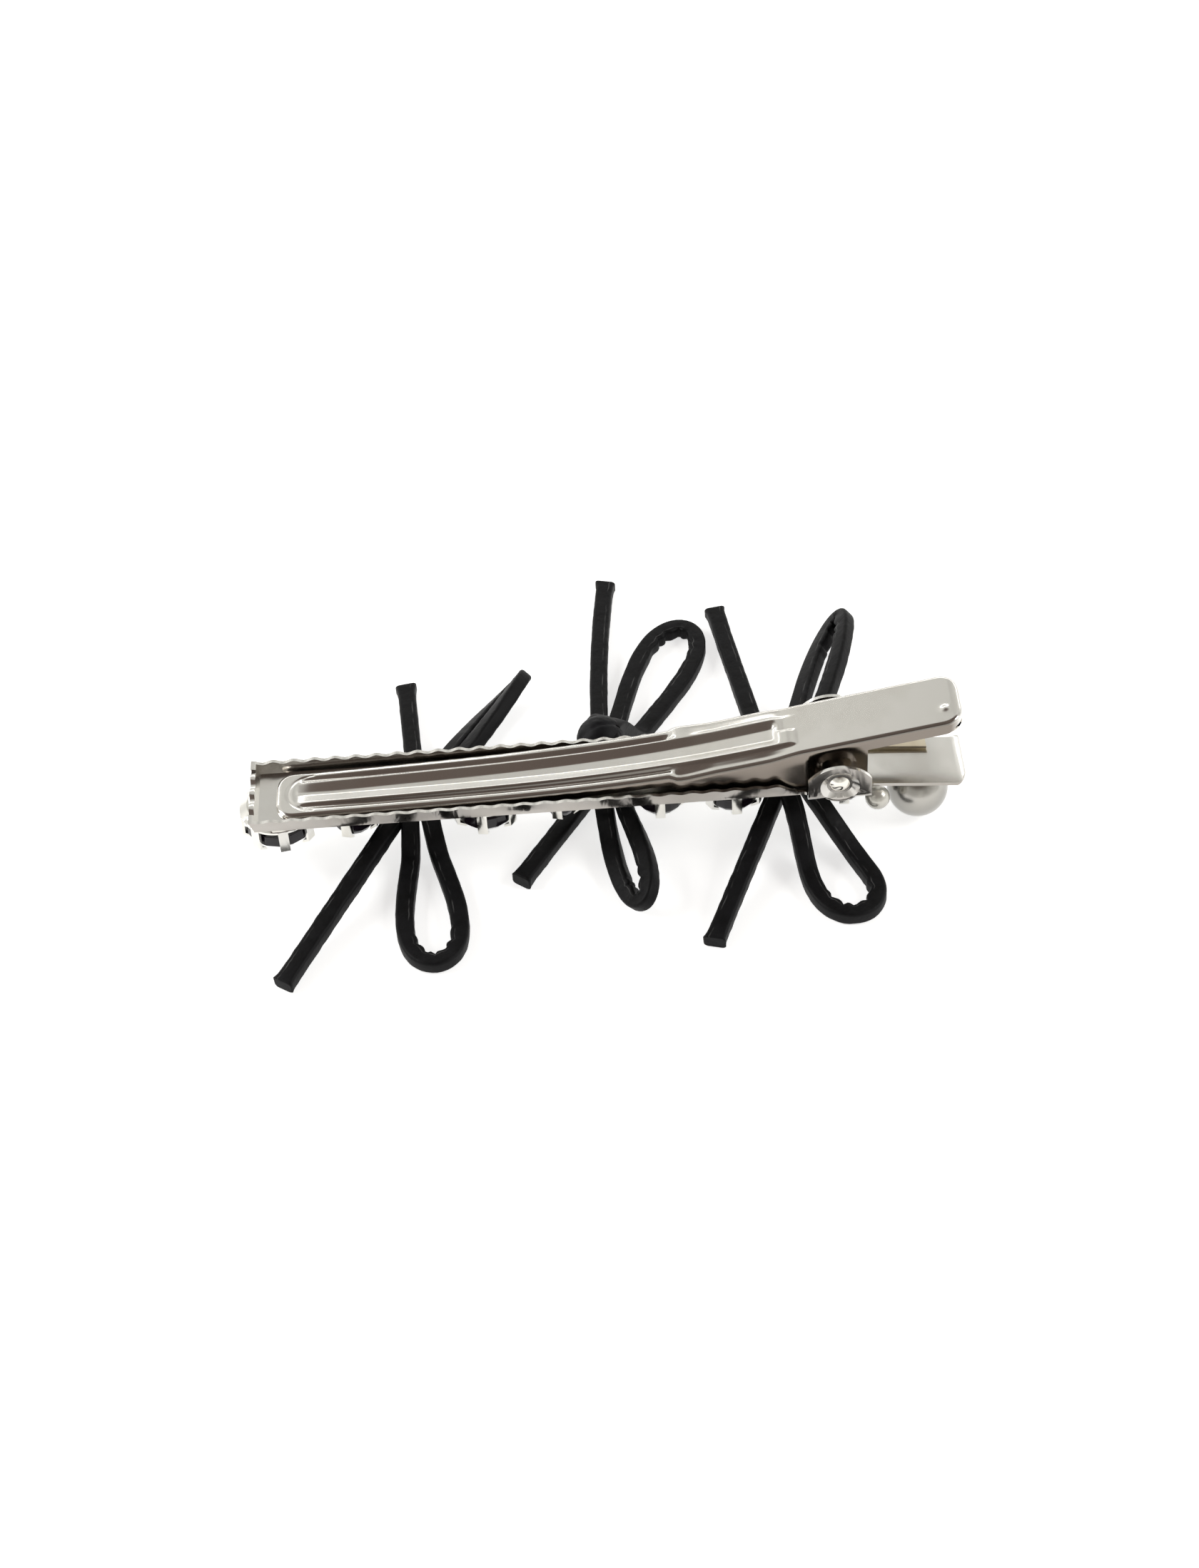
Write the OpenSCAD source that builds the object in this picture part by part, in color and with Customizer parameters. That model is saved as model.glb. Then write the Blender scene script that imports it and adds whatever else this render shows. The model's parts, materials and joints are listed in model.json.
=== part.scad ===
// Alligator hair clip, seen from its lever side, with claw-set stones, pearls and strap bows on its front.
// X runs from the tip to the handle, Y across the clip, Z up out of the tray floor. Millimetres.
// The origin is the middle of the tray floor, where the hair is held.

/* [Sheet metal] */
// Thickness of the plated steel sheet
sheet = 0.4; // [0.35:0.01:0.45]

/* [Base jaw] */
// Length of the base, from the top of the tip wall to the handle lip
base_l = 75; // [72:0.5:78]
// Inside width of the tray floor
tray_w = 7.8; // [7.7:0.05:8]
// Height of the tray walls above the floor
wall_h = 1.3; // [1:0.05:1.5]
// How far the top of a tray wall leans outward
wall_flare = 0.35; // [0.2:0.05:0.5]
// Distance from one scallop of the wall's edge to the next
scallop_pitch = 2.2; // [1.8:0.1:3]
// Depth of the scallops
scallop_depth = 0.26; // [0.1:0.02:0.4]
// Width of the base's bare handle
base_handle_w = 6.9; // [6.5:0.1:7.4]
// Angle by which the base's handle bends away from the lever
droop = 4.8; // [2:0.2:6]
// Length of the lip at the handle's end
lip_l = 0.85; // [0.5:0.05:1.1]
// Height of that lip
lip_h = 0.3; // [0.1:0.05:0.5]

/* [Pivot] */
// Distance of the pin from the tip end of the base
pin_from_tip = 61.5; // [60.5:0.5:62.5]
// Height of the pin's axis above the tray floor
pin_z = 1.6; // [1.55:0.05:1.8]
// Radius of the pin
pin_r = 0.75; // [0.6:0.05:0.8]
// Radius of the pin's domed heads
pin_head_r = 1.05; // [0.95:0.05:1.15]
// Radial clearance of the pin in the lever's lugs
pin_gap = 0.06; // [0.03:0.01:0.09]
// Radial clearance of the pin in the base's ears
ear_gap = 0.02; // [0.01:0.01:0.05]
// Distance between the outer faces of the two ears
ears_w = 11.2; // [11:0.1:11.6]
// Length of an ear along the clip
ear_l = 6.6; // [6:0.1:7]
// Height of an ear above the tray floor
ear_h = 4.35; // [4:0.05:4.6]
// Outer radius of the bend that turns an ear up
ear_bend_r = 0.9; // [0.8:0.05:1.1]
// Radius of the dish pressed into each ear round the pin
dish_r = 2.05; // [1.8:0.05:2.2]
// Depth of that dish
dish_depth = 0.5; // [0.3:0.05:0.55]

/* [Lever] */
// Width of the lever over its handle
lever_w = 7.4; // [7.2:0.05:7.5]
// Width of the lever's tongue at the tip
tongue_w = 6.5; // [6:0.1:6.8]
// Gap between the tongue's tip and the tip end of the base
tongue_inset = 2.6; // [2:0.1:3.5]
// Height of the tongue's top over the tray floor
tongue_z = 0.5; // [0.48:0.02:0.6]
// Height of the handle's top over the tray floor, above the pin
handle_z = 5.8; // [5.7:0.1:6.2]
// Upward angle of the lever's handle
handle_rise = 10.6; // [9:0.2:12]
// Distance by which the lever stops short of the base's handle end
lever_inset = 0.5; // [0.1:0.1:1]
// Depth of the flanges under the handle's top
flange_depth = 1.5; // [1.2:0.1:1.8]
// Width over the two raised ridges near the pivot
rib_w = 4.7; // [4.5:0.1:4.9]
// Height of the ridges above the lever's rim near the pivot
rib_h = 0.25; // [0.1:0.05:0.35]
// Depth of the valley between a ridge and the lever's edge, along the tongue
valley_d = 0.3; // [0.1:0.05:0.35]
// Width of the top of a ridge
ridge_w = 0.35; // [0.2:0.05:0.5]
// Depth of the groove between the ridges, near the pivot
groove_d = 0.45; // [0.3:0.05:0.5]
// Distance from the pin back to the step where the lever widens
step_back = 17.7; // [17:0.1:19]
// How far the lever widens on each side at that step
step_w = 0.2; // [0:0.05:0.2]
// How far its edges sink there
step_sink = 0.4; // [0.2:0.05:0.5]
// Distance from the pin back to the end of the rib
rib_end = 4.6; // [4:0.1:6]
// Radius of the recess pressed round the pin in each flange
recess_r = 2.5; // [2.3:0.05:2.6]
// Width of the rim left round that recess
recess_rim = 0.55; // [0.4:0.05:0.7]
// Largest opening angle, where the two handles nearly meet
open_angle = 28; // [20:1:28]

/* [Spring] */
// Thickness of the spring strip
strip_t = 0.3; // [0.25:0.01:0.35]
// Width of the spring strip
strip_w = 4.8; // [3.5:0.1:5]
// Inner radius of the bend round the pin
strip_bend_r = 1; // [0.9:0.02:1.02]
// Reach of the upper arm past the pin, to where it presses on the lever
strip_reach = 6.4; // [6:0.1:7]
// Length of the upper arm's curled end
strip_curl_l = 1.6; // [1.2:0.1:2]
// Reach of the lower arm past the pin
strip_lower_reach = 9.9; // [9:0.1:10.2]
// Width of the lower arm, which runs along the far side of the strip
strip_lower_w = 1.2; // [1:0.1:1.3]
// Distance of the lower arm's middle from the clip's middle line
strip_lower_y = 2.15; // [2:0.05:2.2]

/* [Stones] */
// Radius of the large stone at the tip
stone_1_r = 4.05; // [3.8:0.05:4.1]
// Radius of the second stone
stone_2_r = 2.65; // [2.4:0.05:2.7]
// Radius of the third stone
stone_3_r = 3.5; // [3.2:0.05:3.6]
// Radius of the fourth stone
stone_4_r = 2.05; // [1.9:0.05:2.2]
// Radius of the fifth stone
stone_5_r = 2.95; // [2.7:0.05:3]
// Radius of the sixth stone
stone_6_r = 3.15; // [2.9:0.05:3.2]
// Radius of the seventh stone
stone_7_r = 2.45; // [2.2:0.05:2.5]
// Distance from the pin back to the middle of the large stone at the tip
stone_1_back = 58.9; // [58.7:0.1:59.1]
// Distance from the pin back to the middle of the second stone
stone_2_back = 51.1; // [50.9:0.1:51.3]
// Distance from the pin back to the middle of the third stone
stone_3_back = 37; // [36.8:0.1:37.2]
// Distance from the pin back to the middle of the fourth stone
stone_4_back = 29.1; // [28.9:0.1:29.3]
// Distance from the pin back to the middle of the fifth stone
stone_5_back = 18.5; // [18.3:0.1:18.7]
// Distance from the pin back to the middle of the sixth stone
stone_6_back = 10.8; // [10.6:0.1:11.0]
// Distance from the pin on to the middle of the seventh stone
stone_7_on = 1; // [0.8:0.1:1.2]
// Depth of a stone in its setting, from the base to its table
stone_depth = 4.2; // [3.8:0.1:4.4]
// Width of a claw
claw_w = 1.05; // [0.8:0.05:1.2]
// Thickness of a claw
claw_t = 0.3; // [0.25:0.01:0.35]

/* [Pearls] */
// Radius of the large pearl
pearl_r = 3.25; // [3:0.05:3.3]
// Radius of the small pearl
bead_r = 1.3; // [1.1:0.05:1.35]
// Radius of the cap that seats the large pearl
cap_r = 2.1; // [1.8:0.05:2.3]
// Distance of the large pearl's middle from the handle's end
pearl_inset = 4.6; // [4.2:0.1:5]
// Distance from the pin on to the middle of the small pearl
bead_on = 4.2; // [4:0.1:4.4]

/* [Bows] */
// Width of the strap
strap_w = 1.95; // [1.7:0.05:2.05]
// Thickness of the strap
strap_t = 1.6; // [1.4:0.05:1.7]
// Radius of the knot of the first and third bow
knot_r = 2.1; // [1.9:0.05:2.2]
// Radius of the knot of the second bow, which shows beside the base
knot_2_r = 2.6; // [2.4:0.05:2.7]
// Half the distance between the two strands of a loop at its knot
strand_gap = 1.2; // [1.15:0.05:1.35]
// Distance from the pin back to the first knot
knot_1_back = 44.5; // [44.2:0.1:44.8]
// Distance from the pin back to the second knot
knot_2_back = 24.4; // [24.2:0.1:24.6]
// Distance from the pin back to the third knot
knot_3_back = 5.3; // [5.2:0.1:5.6]
// Length of the first bow's upper tail, from the knot
bow_1_upper_tail_l = 19.6; // [18.1:0.1:21.1]
// Length of the first bow's upper loop, from the knot
bow_1_upper_loop_l = 21.5; // [20.0:0.1:23.0]
// Length of the first bow's lower tail, from the knot
bow_1_lower_tail_l = 27.4; // [25.9:0.1:28.9]
// Length of the first bow's lower loop, from the knot
bow_1_lower_loop_l = 21.9; // [20.4:0.1:23.4]
// Length of the second bow's upper tail, from the knot
bow_2_upper_tail_l = 31.5; // [30.0:0.1:33.0]
// Length of the second bow's upper loop, from the knot
bow_2_upper_loop_l = 25.2; // [23.7:0.1:26.7]
// Length of the second bow's lower tail, from the knot
bow_2_lower_tail_l = 17.4; // [15.9:0.1:18.9]
// Length of the second bow's lower loop, from the knot
bow_2_lower_loop_l = 18.4; // [16.9:0.1:19.9]
// Length of the third bow's upper tail, from the knot
bow_3_upper_tail_l = 31.6; // [30.1:0.1:33.1]
// Length of the third bow's upper loop, from the knot
bow_3_upper_loop_l = 29.3; // [27.8:0.1:30.8]
// Length of the third bow's lower tail, from the knot
bow_3_lower_tail_l = 21.4; // [19.9:0.1:22.9]
// Length of the third bow's lower loop, from the knot
bow_3_lower_loop_l = 18; // [16.5:0.1:19.5]

/* [Hidden] */

$fn = 64;
// Overrun of every cut past the face that it opens
over = 0.5;

// Colours as the photograph shows them
steel_colour = [0.78, 0.76, 0.72];
spring_colour = [0.72, 0.68, 0.55];
stone_colour = [0.03, 0.03, 0.04];
pearl_colour = [0.87, 0.85, 0.8];
strap_colour = [0.09, 0.09, 0.1];

// Places along the base
tip_x = -base_l / 2;
end_x = base_l / 2;
floor_x0 = tip_x + wall_flare + sheet;
pin_x = tip_x + pin_from_tip;
ear_x0 = pin_x - ear_l / 2;
ear_x1 = pin_x + ear_l / 2;
wall_fade = 2.6;
tray_x1 = ear_x0 - sheet;
floor_x1 = end_x - lip_l;
ear_in = ears_w / 2 - sheet;
bend_y = ears_w / 2 - ear_bend_r;

// Height of the base's floor at a place along it: level up to the pin, then drooping
function floor_z(x) = x < pin_x ? 0 : -(x - pin_x) * tan(droop);
function blend(t) = let(u = min(1, max(0, t))) u * u * (3 - 2 * u);
function mix(a, b, t) = a + (b - a) * min(1, max(0, t));
function normalised(v) = v / norm(v);
function reversed(v) = [for (i = [len(v) - 1 : -1 : 0]) v[i]];

// Base jaw

module across(width) {
    rotate([90, 0, 0]) linear_extrude(height = width, center = true) children();
}

module base_side_strip() {
    lip_top = [end_x, floor_z(floor_x1) + lip_h];
    polygon([
        [floor_x0 - sheet, 0], [floor_x0 - sheet, -sheet], [pin_x, -sheet],
        [floor_x1, floor_z(floor_x1) - sheet], lip_top - [0, sheet], lip_top,
        [floor_x1, floor_z(floor_x1)], [pin_x, 0]
    ]);
}

// Outline with its corners rounded: each point is [x, y, radius]
function rounded(points, steps = 4) = [
    for (i = [0 : len(points) - 1])
        let(
            n = len(points),
            at = [points[i].x, points[i].y],
            before = points[(i + n - 1) % n],
            after = points[(i + 1) % n],
            a = normalised([before.x, before.y] - at),
            b = normalised([after.x, after.y] - at),
            half_angle = acos(a * b) / 2,
            r = points[i].z,
            middle = at + normalised(a + b) * r / sin(half_angle),
            from = at + a * r / tan(half_angle) - middle,
            to = at + b * r / tan(half_angle) - middle
        )
        each r == 0 ? [at] : [
            for (k = [0 : steps])
                middle + (from * sin((90 - half_angle) * (2 - 2 * k / steps))
                    + to * sin((90 - half_angle) * 2 * k / steps)) / sin(180 - 2 * half_angle)
        ]
];

module base_plan() {
    tray_half = tray_w / 2 + sheet;
    ear_corner = 0.3;
    half = [
        [floor_x0 - sheet, tray_half, 0], [ear_x0, tray_half, ear_corner], [ear_x0, bend_y, 0],
        [ear_x1, bend_y, 0], [ear_x1, base_handle_w / 2, ear_corner * 2], [end_x, base_handle_w / 2, lip_l]
    ];
    polygon(rounded(concat(
        [for (i = [0 : 5]) [half[i].x, half[i].y, half[i].z]],
        [for (i = [5 : -1 : 0]) [half[i].x, -half[i].y, half[i].z]]
    )));
}

module base_floor() {
    intersection() {
        across(ears_w) base_side_strip();
        translate([0, 0, -base_l / 2]) linear_extrude(height = base_l) base_plan();
    }
}

// Frustum that widens upward on its two long sides and at the tip
module leaning_block(x0, x1, half, z0, z1, lean) {
    polyhedron(
        points = [
            [x0, -half, z0], [x1, -half, z0], [x1, half, z0], [x0, half, z0],
            [x0 - lean, -half - lean, z1], [x1, -half - lean, z1],
            [x1, half + lean, z1], [x0 - lean, half + lean, z1]
        ],
        faces = [
            [0, 1, 2, 3], [7, 6, 5, 4], [4, 5, 1, 0], [5, 6, 2, 1], [6, 7, 3, 2], [7, 4, 0, 3]
        ]
    );
}

// Height of a wall's scalloped edge, and how it fades out towards the ears
function edge_z(x) =
    wall_h - scallop_depth / 2 * (1 - cos(360 * (x - tip_x) / scallop_pitch))
    - (wall_h + sheet / 2) * blend((x - tray_x1 + wall_fade) / wall_fade);

module scallop_cut() {
    steps_a_pitch = 6;
    step = scallop_pitch / steps_a_pitch;
    count = floor((tray_x1 - tip_x) / step);
    // The long walls
    across(ears_w) polygon(concat(
        [[tip_x - over, edge_z(tip_x)]],
        [for (i = [0 : count]) [tip_x + i * step, edge_z(tip_x + i * step)]],
        [[tray_x1 + over, edge_z(tray_x1)], [tray_x1 + over, wall_h + over], [tip_x - over, wall_h + over]]
    ));
    // The tip wall
    half = tray_w / 2 - sheet;
    tip_count = floor(half / step);
    translate([tip_x - over, 0, 0]) rotate([90, 0, 90]) linear_extrude(height = over + sheet + wall_flare)
        polygon(concat(
            [for (i = [-tip_count : tip_count])
                [i * step, wall_h - scallop_depth / 2 * (1 - cos(360 * i * step / scallop_pitch))]],
            [[half, wall_h + over], [-half, wall_h + over]]
        ));
}

module tray_walls() {
    lean = wall_flare * (wall_h + sheet) / wall_h;
    difference() {
        leaning_block(
            tip_x + wall_flare, tray_x1, tray_w / 2 + sheet + wall_flare - lean, -sheet, wall_h, lean
        );
        leaning_block(floor_x0, tray_x1 + over, tray_w / 2, 0, wall_h + over,
            wall_flare * (wall_h + over) / wall_h);
        scallop_cut();
    }
}

// One ear, on the +Y side: floor, bend and upright, cut to its rounded outline
module ear() {
    crown_r = 3.9;
    crown_z = ear_h - crown_r;
    intersection() {
        translate([ear_x0, 0, 0]) rotate([90, 0, 90]) linear_extrude(height = ear_l) union() {
            translate([bend_y - sheet, -sheet]) square([sheet, sheet]);
            translate([bend_y, ear_bend_r - sheet]) intersection() {
                difference() {
                    circle(r = ear_bend_r);
                    circle(r = ear_bend_r - sheet);
                }
                translate([0, -ear_bend_r]) square(ear_bend_r);
            }
            translate([ear_in, ear_bend_r - sheet]) square([sheet, ear_h]);
        }
        union() {
            translate([pin_x, 0, crown_z]) rotate([90, 0, 0]) cylinder(r = crown_r, h = 2 * ears_w, center = true);
            translate([ear_x0, 0, -sheet]) cube([ear_l, ears_w, ear_bend_r]);
        }
    }
}

module at_pin() {
    translate([pin_x, 0, pin_z]) children();
}

// The dish of the +Y ear, as a cup of sheet that leans in to the pin
module dish(wall) {
    floor_r = dish_r - dish_depth - sheet / 2;
    at_pin() rotate([-90, 0, 0]) translate([0, 0, ears_w / 2])
        rotate_extrude() polygon(wall
            ? [[0, -sheet / 2], [dish_r + sheet / 2, -sheet / 2],
                [floor_r + sheet / 2, -dish_depth - sheet], [0, -dish_depth - sheet]]
            : [[0, over], [dish_r, over], [dish_r, 0], [floor_r, -dish_depth], [0, -dish_depth]]
        );
}

module base_jaw() {
    color(steel_colour) difference() {
        union() {
            base_floor();
            tray_walls();
            for (side = [0, 1]) mirror([0, side, 0]) {
                ear();
                dish(true);
            }
        }
        for (side = [0, 1]) mirror([0, side, 0]) dish(false);
        at_pin() rotate([90, 0, 0]) cylinder(r = pin_r + ear_gap, h = 2 * ears_w, center = true);
    }
}

// Lever

lever_x0 = tip_x + tongue_inset;
lever_x1 = end_x - lever_inset;
bow_x0 = mix(tip_x, pin_x, 0.285);
bow_x1 = mix(tip_x, pin_x, 0.84);
tongue_slope = 0.03;
corner_r = sheet + 0.06;

// Height of the lever's rim: a flat tongue, a bowed middle and a straight handle
function handle_line(x) = handle_z + (x - pin_x) * tan(handle_rise);
function rim_z(x) =
    let(
        span = bow_x1 - bow_x0,
        t = (x - bow_x0) / span,
        z0 = tongue_z + (bow_x0 - lever_x0) * tongue_slope,
        t2 = t * t,
        t3 = t2 * t
    )
    x <= bow_x0 ? tongue_z + (x - lever_x0) * tongue_slope
    : x >= bow_x1 ? handle_line(x)
    : (2 * t3 - 3 * t2 + 1) * z0 + (t3 - 2 * t2 + t) * span * tongue_slope
        + (3 * t2 - 2 * t3) * handle_line(bow_x1) + (t3 - t2) * span * tan(handle_rise);

// Half width of the lever, with its rounded tip and its rounded handle end
tip_round = 1.9;
end_round = 2.1;
function round_in(d, r) = d >= r ? 0 : r - sqrt(max(0, r * r - (r - d) * (r - d)));
step_x = pin_x - step_back;
function step_on(x) =
    blend((x - step_x) / 1.2) * mix(1, 0.6, (x - step_x - 2) / 3) * blend((pin_x - rib_end + 1 - x) / 4);
function full_w(x) = mix(tongue_w, lever_w, (x - lever_x0) / (bow_x1 - lever_x0)) / 2 + step_w * step_on(x);
function half_w(x) = full_w(x) - round_in(x - lever_x0, tip_round) - round_in(lever_x1 - x, end_round);
// Height of the lever's edge
function side_z(x) = rim_z(x) - step_sink * step_on(x);

// How much of the rib there is at x, from 0 on the flats to 1 along the rib
rib_x0 = lever_x0 + 2.3;
rib_x1 = pin_x - rib_end;
rib_ramp = 1.3;
groove_x1 = rib_x1 - 1.5;
function along(x) = (x - rib_x0) / (rib_x1 - rib_x0);
function rib_on(x) = blend((x - rib_x0) / rib_ramp) * blend((rib_x1 - x) / rib_ramp);
function groove_on(x) = blend((x - rib_x0) / rib_ramp) * blend((groove_x1 - x) / (rib_ramp / 2));
function rib_rise(x) = mix(-rib_h / 2.5, rib_h, along(x) * 1.25) * rib_on(x);
ridge_margin = 1.1;
function rib_half(x) = min(mix(rib_w / 3, rib_w / 2, along(x) * 1.15), full_w(x) - corner_r - ridge_margin);
function groove_half(x) = rib_half(x) - ridge_w;
function groove_depth(x) = mix(groove_d / 2, groove_d, along(x) * 1.4) * groove_on(x);
// The lowest that the lever's skin may lie over the tray floor
skin_z = sheet + 0.06;

// Bottom edge of the flanges: shallow along the tongue, down into the tray before the pin
flange_x0 = pin_x - 18;
flange_x1 = pin_x - 14.5;
flange_gap = 0.3;
rim_flange = 1.1;
hip_x = pin_x - recess_r - recess_rim;
function flange_z(x) =
    x > hip_x ? rim_z(x) - flange_depth
    : min(
        side_z(x) - corner_r - 0.02,
        max(flange_gap, mix(side_z(x) - rim_flange, flange_gap, blend((x - flange_x0) / (flange_x1 - flange_x0))))
    );

// Outer half outline of the lever's section at x, from the middle to the foot of the flange
function lever_half(x) =
    let(
        full = full_w(x),
        y = half_w(x),
        c = corner_r,
        k = (y - c) / (full - c),
        drop = 0.8 * blend((x - lever_x1 + end_round / 2) / end_round),
        z = side_z(x) - drop,
        top = rim_z(x) - drop + rib_rise(x),
        low = min(top, max(skin_z, top - groove_depth(x))),
        sunk = min(z, max(skin_z, z - valley_d * rib_on(x) * (1 - step_on(x)) * blend((rib_x1 - 2 - x) / 8))),
        crest = rib_half(x),
        foot = crest + 0.5,
        slope_z = mix(top, z, 0.5 / (full - c - 0.25 - crest))
    )
    [
        [0, low], [(groove_half(x) - 0.9) * k, low], [groove_half(x) * k, top],
        [crest * k, top], [foot * k, mix(sunk, slope_z, step_on(x))],
        [(full - c - 0.25) * k, z],
        [y - c, z], [y - c * 0.3, z - c * 0.3], [y, z - c], [y, flange_z(x)]
    ];

// Full outline, the same moved in by the sheet's thickness, and the closed section of both
function mirrored_half(h) = concat([for (i = [len(h) - 1 : -1 : 1]) [-h[i].x, h[i].y]], h);
function side_normal(a, b) = let(d = normalised(b - a)) [-d.y, d.x];
function moved_in(p, i, t) =
    let(
        n0 = side_normal(p[max(0, i - 1)], p[max(1, i)]),
        n1 = side_normal(p[min(len(p) - 2, i)], p[min(len(p) - 1, i + 1)])
    )
    p[i] - t * (n0 + n1) / (1 + n0 * n1);
function lever_section(x, t) =
    let(outer = mirrored_half(lever_half(x)), last = len(outer) - 1)
    concat(outer, [for (i = [last : -1 : 0]) moved_in(outer, i, t)]);

// Faces of a skin over rings of n points, and its two ends: fans for a convex ring, strips for a folded one
function skin_faces(rings, n) =
    [for (r = [0 : rings - 2], i = [0 : n - 1])
        let(j = (i + 1) % n, a = r * n)
        each [[a + i, a + n + i, a + n + j], [a + i, a + n + j, a + j]]];
function ring_faces(rings, n) = concat(
    [[for (i = [0 : n - 1]) i]], skin_faces(rings, n), [[for (i = [n - 1 : -1 : 0]) (rings - 1) * n + i]]
);
function sheet_faces(rings, n) =
    let(m = n / 2, z = (rings - 1) * n)
    concat(
        [for (i = [0 : m - 2]) each [[i, i + 1, n - 2 - i], [i, n - 2 - i, n - 1 - i]]],
        skin_faces(rings, n),
        [for (i = [0 : m - 2])
            each [[z + n - 2 - i, z + i + 1, z + i], [z + n - 1 - i, z + n - 2 - i, z + i]]]
    );

lever_places = concat(
    [for (d = [0.02, 0.15, 0.45, 1, 1.9]) lever_x0 + d],
    [for (i = [0 : 5]) rib_x0 + rib_ramp * i / 5],
    [for (i = [1 : 13]) mix(rib_x0 + rib_ramp, flange_x0, i / 13)],
    [for (i = [1 : 4]) mix(flange_x0, flange_x1, i / 4)],
    [for (i = [1 : 3]) mix(flange_x1, groove_x1 - rib_ramp / 2, i / 3)],
    [for (i = [1 : 3]) mix(groove_x1 - rib_ramp / 2, groove_x1, i / 3)],
    [for (i = [1 : 5]) mix(rib_x1 - rib_ramp, rib_x1, i / 5)],
    [hip_x, hip_x + 0.02],
    [for (i = [1 : 4]) mix(hip_x, lever_x1 - end_round, i / 4)],
    [for (d = [1.1, 0.6, 0.4]) lever_x1 - d]
);
end_places = [for (d = [0.2, 0.05]) lever_x1 - d];

module lever_sheet() {
    points_a_ring = len(lever_section(0, sheet));
    half_ring = points_a_ring / 2;
    open_rings = [for (x = lever_places) [for (p = lever_section(x, sheet)) [x, p.x, p.y]]];
    // The end is turned down, so there the inner outline runs along the flange's foot
    closed_rings = [for (x = end_places)
        let(outer = mirrored_half(lever_half(x)), foot = flange_z(x), wide = outer[half_ring - 1].x)
        concat(
            [for (p = outer) [x, p.x, p.y]],
            [for (i = [half_ring - 1 : -1 : 0])
                [x, wide * 0.9 * (2 * i / (half_ring - 1) - 1), foot - 0.01 * sin(180 * i / (half_ring - 1))]]
        )];
    rings = concat(open_rings, closed_rings);
    polyhedron(points = [for (r = rings) each reversed(r)], faces = sheet_faces(len(rings), points_a_ring));
}

// Outline, in the X-Z plane, of the cheek that carries the pin, without the parts that would meet the floor
module cheek(r) {
    low = pin_z - flange_gap / 1.5;
    difference() {
        union() {
            translate([pin_x, pin_z]) circle(r = r);
            children();
        }
        translate([pin_x - 2 * r, -r]) square([4 * r, r + pin_z - low + 0.06]);
        translate([pin_x, pin_z - low]) rotate(open_angle - droop + 1)
            translate([-r / 4, -2 * r]) square([3 * r, 2 * r]);
    }
}

module cheek_web(r) {
    polygon([
        [pin_x - r, flange_gap], [pin_x + r, pin_z],
        [pin_x + r, rim_z(pin_x + r) - flange_depth + sheet / 4],
        [pin_x - r - sheet, rim_z(pin_x - r) - flange_depth + sheet / 4],
        [pin_x - r - sheet, flange_gap]
    ]);
}

module lever() {
    rim_r = recess_r + recess_rim;
    lug_out = lever_w / 2 - sheet + 0.05;
    color(steel_colour) difference() {
        union() {
            lever_sheet();
            for (side = [0, 1]) mirror([0, side, 0]) {
                translate([0, lever_w / 2, 0]) rotate([90, 0, 0]) linear_extrude(height = sheet)
                    cheek(rim_r) cheek_web(rim_r);
                translate([0, lug_out, 0]) rotate([90, 0, 0]) linear_extrude(height = sheet + 0.05)
                    cheek(rim_r - 0.05);
            }
        }
        for (side = [0, 1]) mirror([0, side, 0])
            at_pin() translate([0, lug_out, 0]) rotate([-90, 0, 0]) cylinder(r = recess_r, h = lever_w);
        at_pin() rotate([90, 0, 0]) cylinder(r = pin_r + pin_gap, h = 2 * lever_w, center = true);
    }
}

// Pin and spring

module pivot_pin() {
    head_y = ears_w / 2 - dish_depth + 0.02;
    head_h = 0.45;
    color(steel_colour) at_pin() {
        rotate([90, 0, 0]) cylinder(r = pin_r, h = 2 * head_y, center = true);
        for (side = [0, 1]) mirror([0, side, 0]) translate([0, head_y, 0]) rotate([-90, 0, 0])
            rotate_extrude() intersection() {
                translate([0, -(pin_head_r * pin_head_r - head_h * head_h) / (2 * head_h)])
                    circle(r = (pin_head_r * pin_head_r + head_h * head_h) / (2 * head_h));
                square([pin_head_r, head_h]);
            }
    }
}

// Middle line of the strip in the X-Z plane: lower arm, bend round the pin, upper arm and its curled end
strip_gap = 0.2;
turn_steps = 16;
function strip_line() =
    let(
        r = strip_bend_r + strip_t / 2,
        low_end = [pin_x + strip_lower_reach, floor_z(pin_x + strip_lower_reach) + strip_gap + strip_t / 2],
        touch_x = pin_x + strip_reach,
        touch = [touch_x, rim_z(touch_x) - sheet - strip_gap - strip_t / 2],
        pin = [pin_x, pin_z],
        low_v = low_end - pin,
        up_v = touch - pin,
        low_a = atan2(low_v.y, low_v.x) - acos(r / norm(low_v)),
        up_a = atan2(up_v.y, up_v.x) + acos(r / norm(up_v)),
        curl_steps = 6,
        up_dir = up_a - 90,
        curl_turn = 58
    )
    concat(
        [low_end],
        [for (i = [0 : turn_steps])
            let(a = 360 + low_a + (up_a - 360 - low_a) * i / turn_steps) pin + r * [cos(a), sin(a)]],
        [for (i = [0 : curl_steps])
            let(s = i / curl_steps, a = up_dir - curl_turn * s / 2)
            touch + strip_curl_l * s * [cos(a), sin(a)]]
    );

// The strip along the points i0 to i1 of its middle line
module strip_part(i0, i1, width) {
    line = strip_line();
    last = len(line) - 1;
    function line_normal(i) = side_normal(line[max(0, i - 1)], line[min(last, i + 1)]);
    across(width) polygon(concat(
        [for (i = [i0 : i1]) line[i] + line_normal(i) * strip_t / 2],
        [for (i = [i1 : -1 : i0]) line[i] - line_normal(i) * strip_t / 2]
    ));
}

module spring() {
    color(spring_colour) {
        strip_part(1, len(strip_line()) - 1, strip_w);
        translate([0, strip_lower_y, 0]) strip_part(0, 3, strip_lower_w);
    }
}

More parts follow.
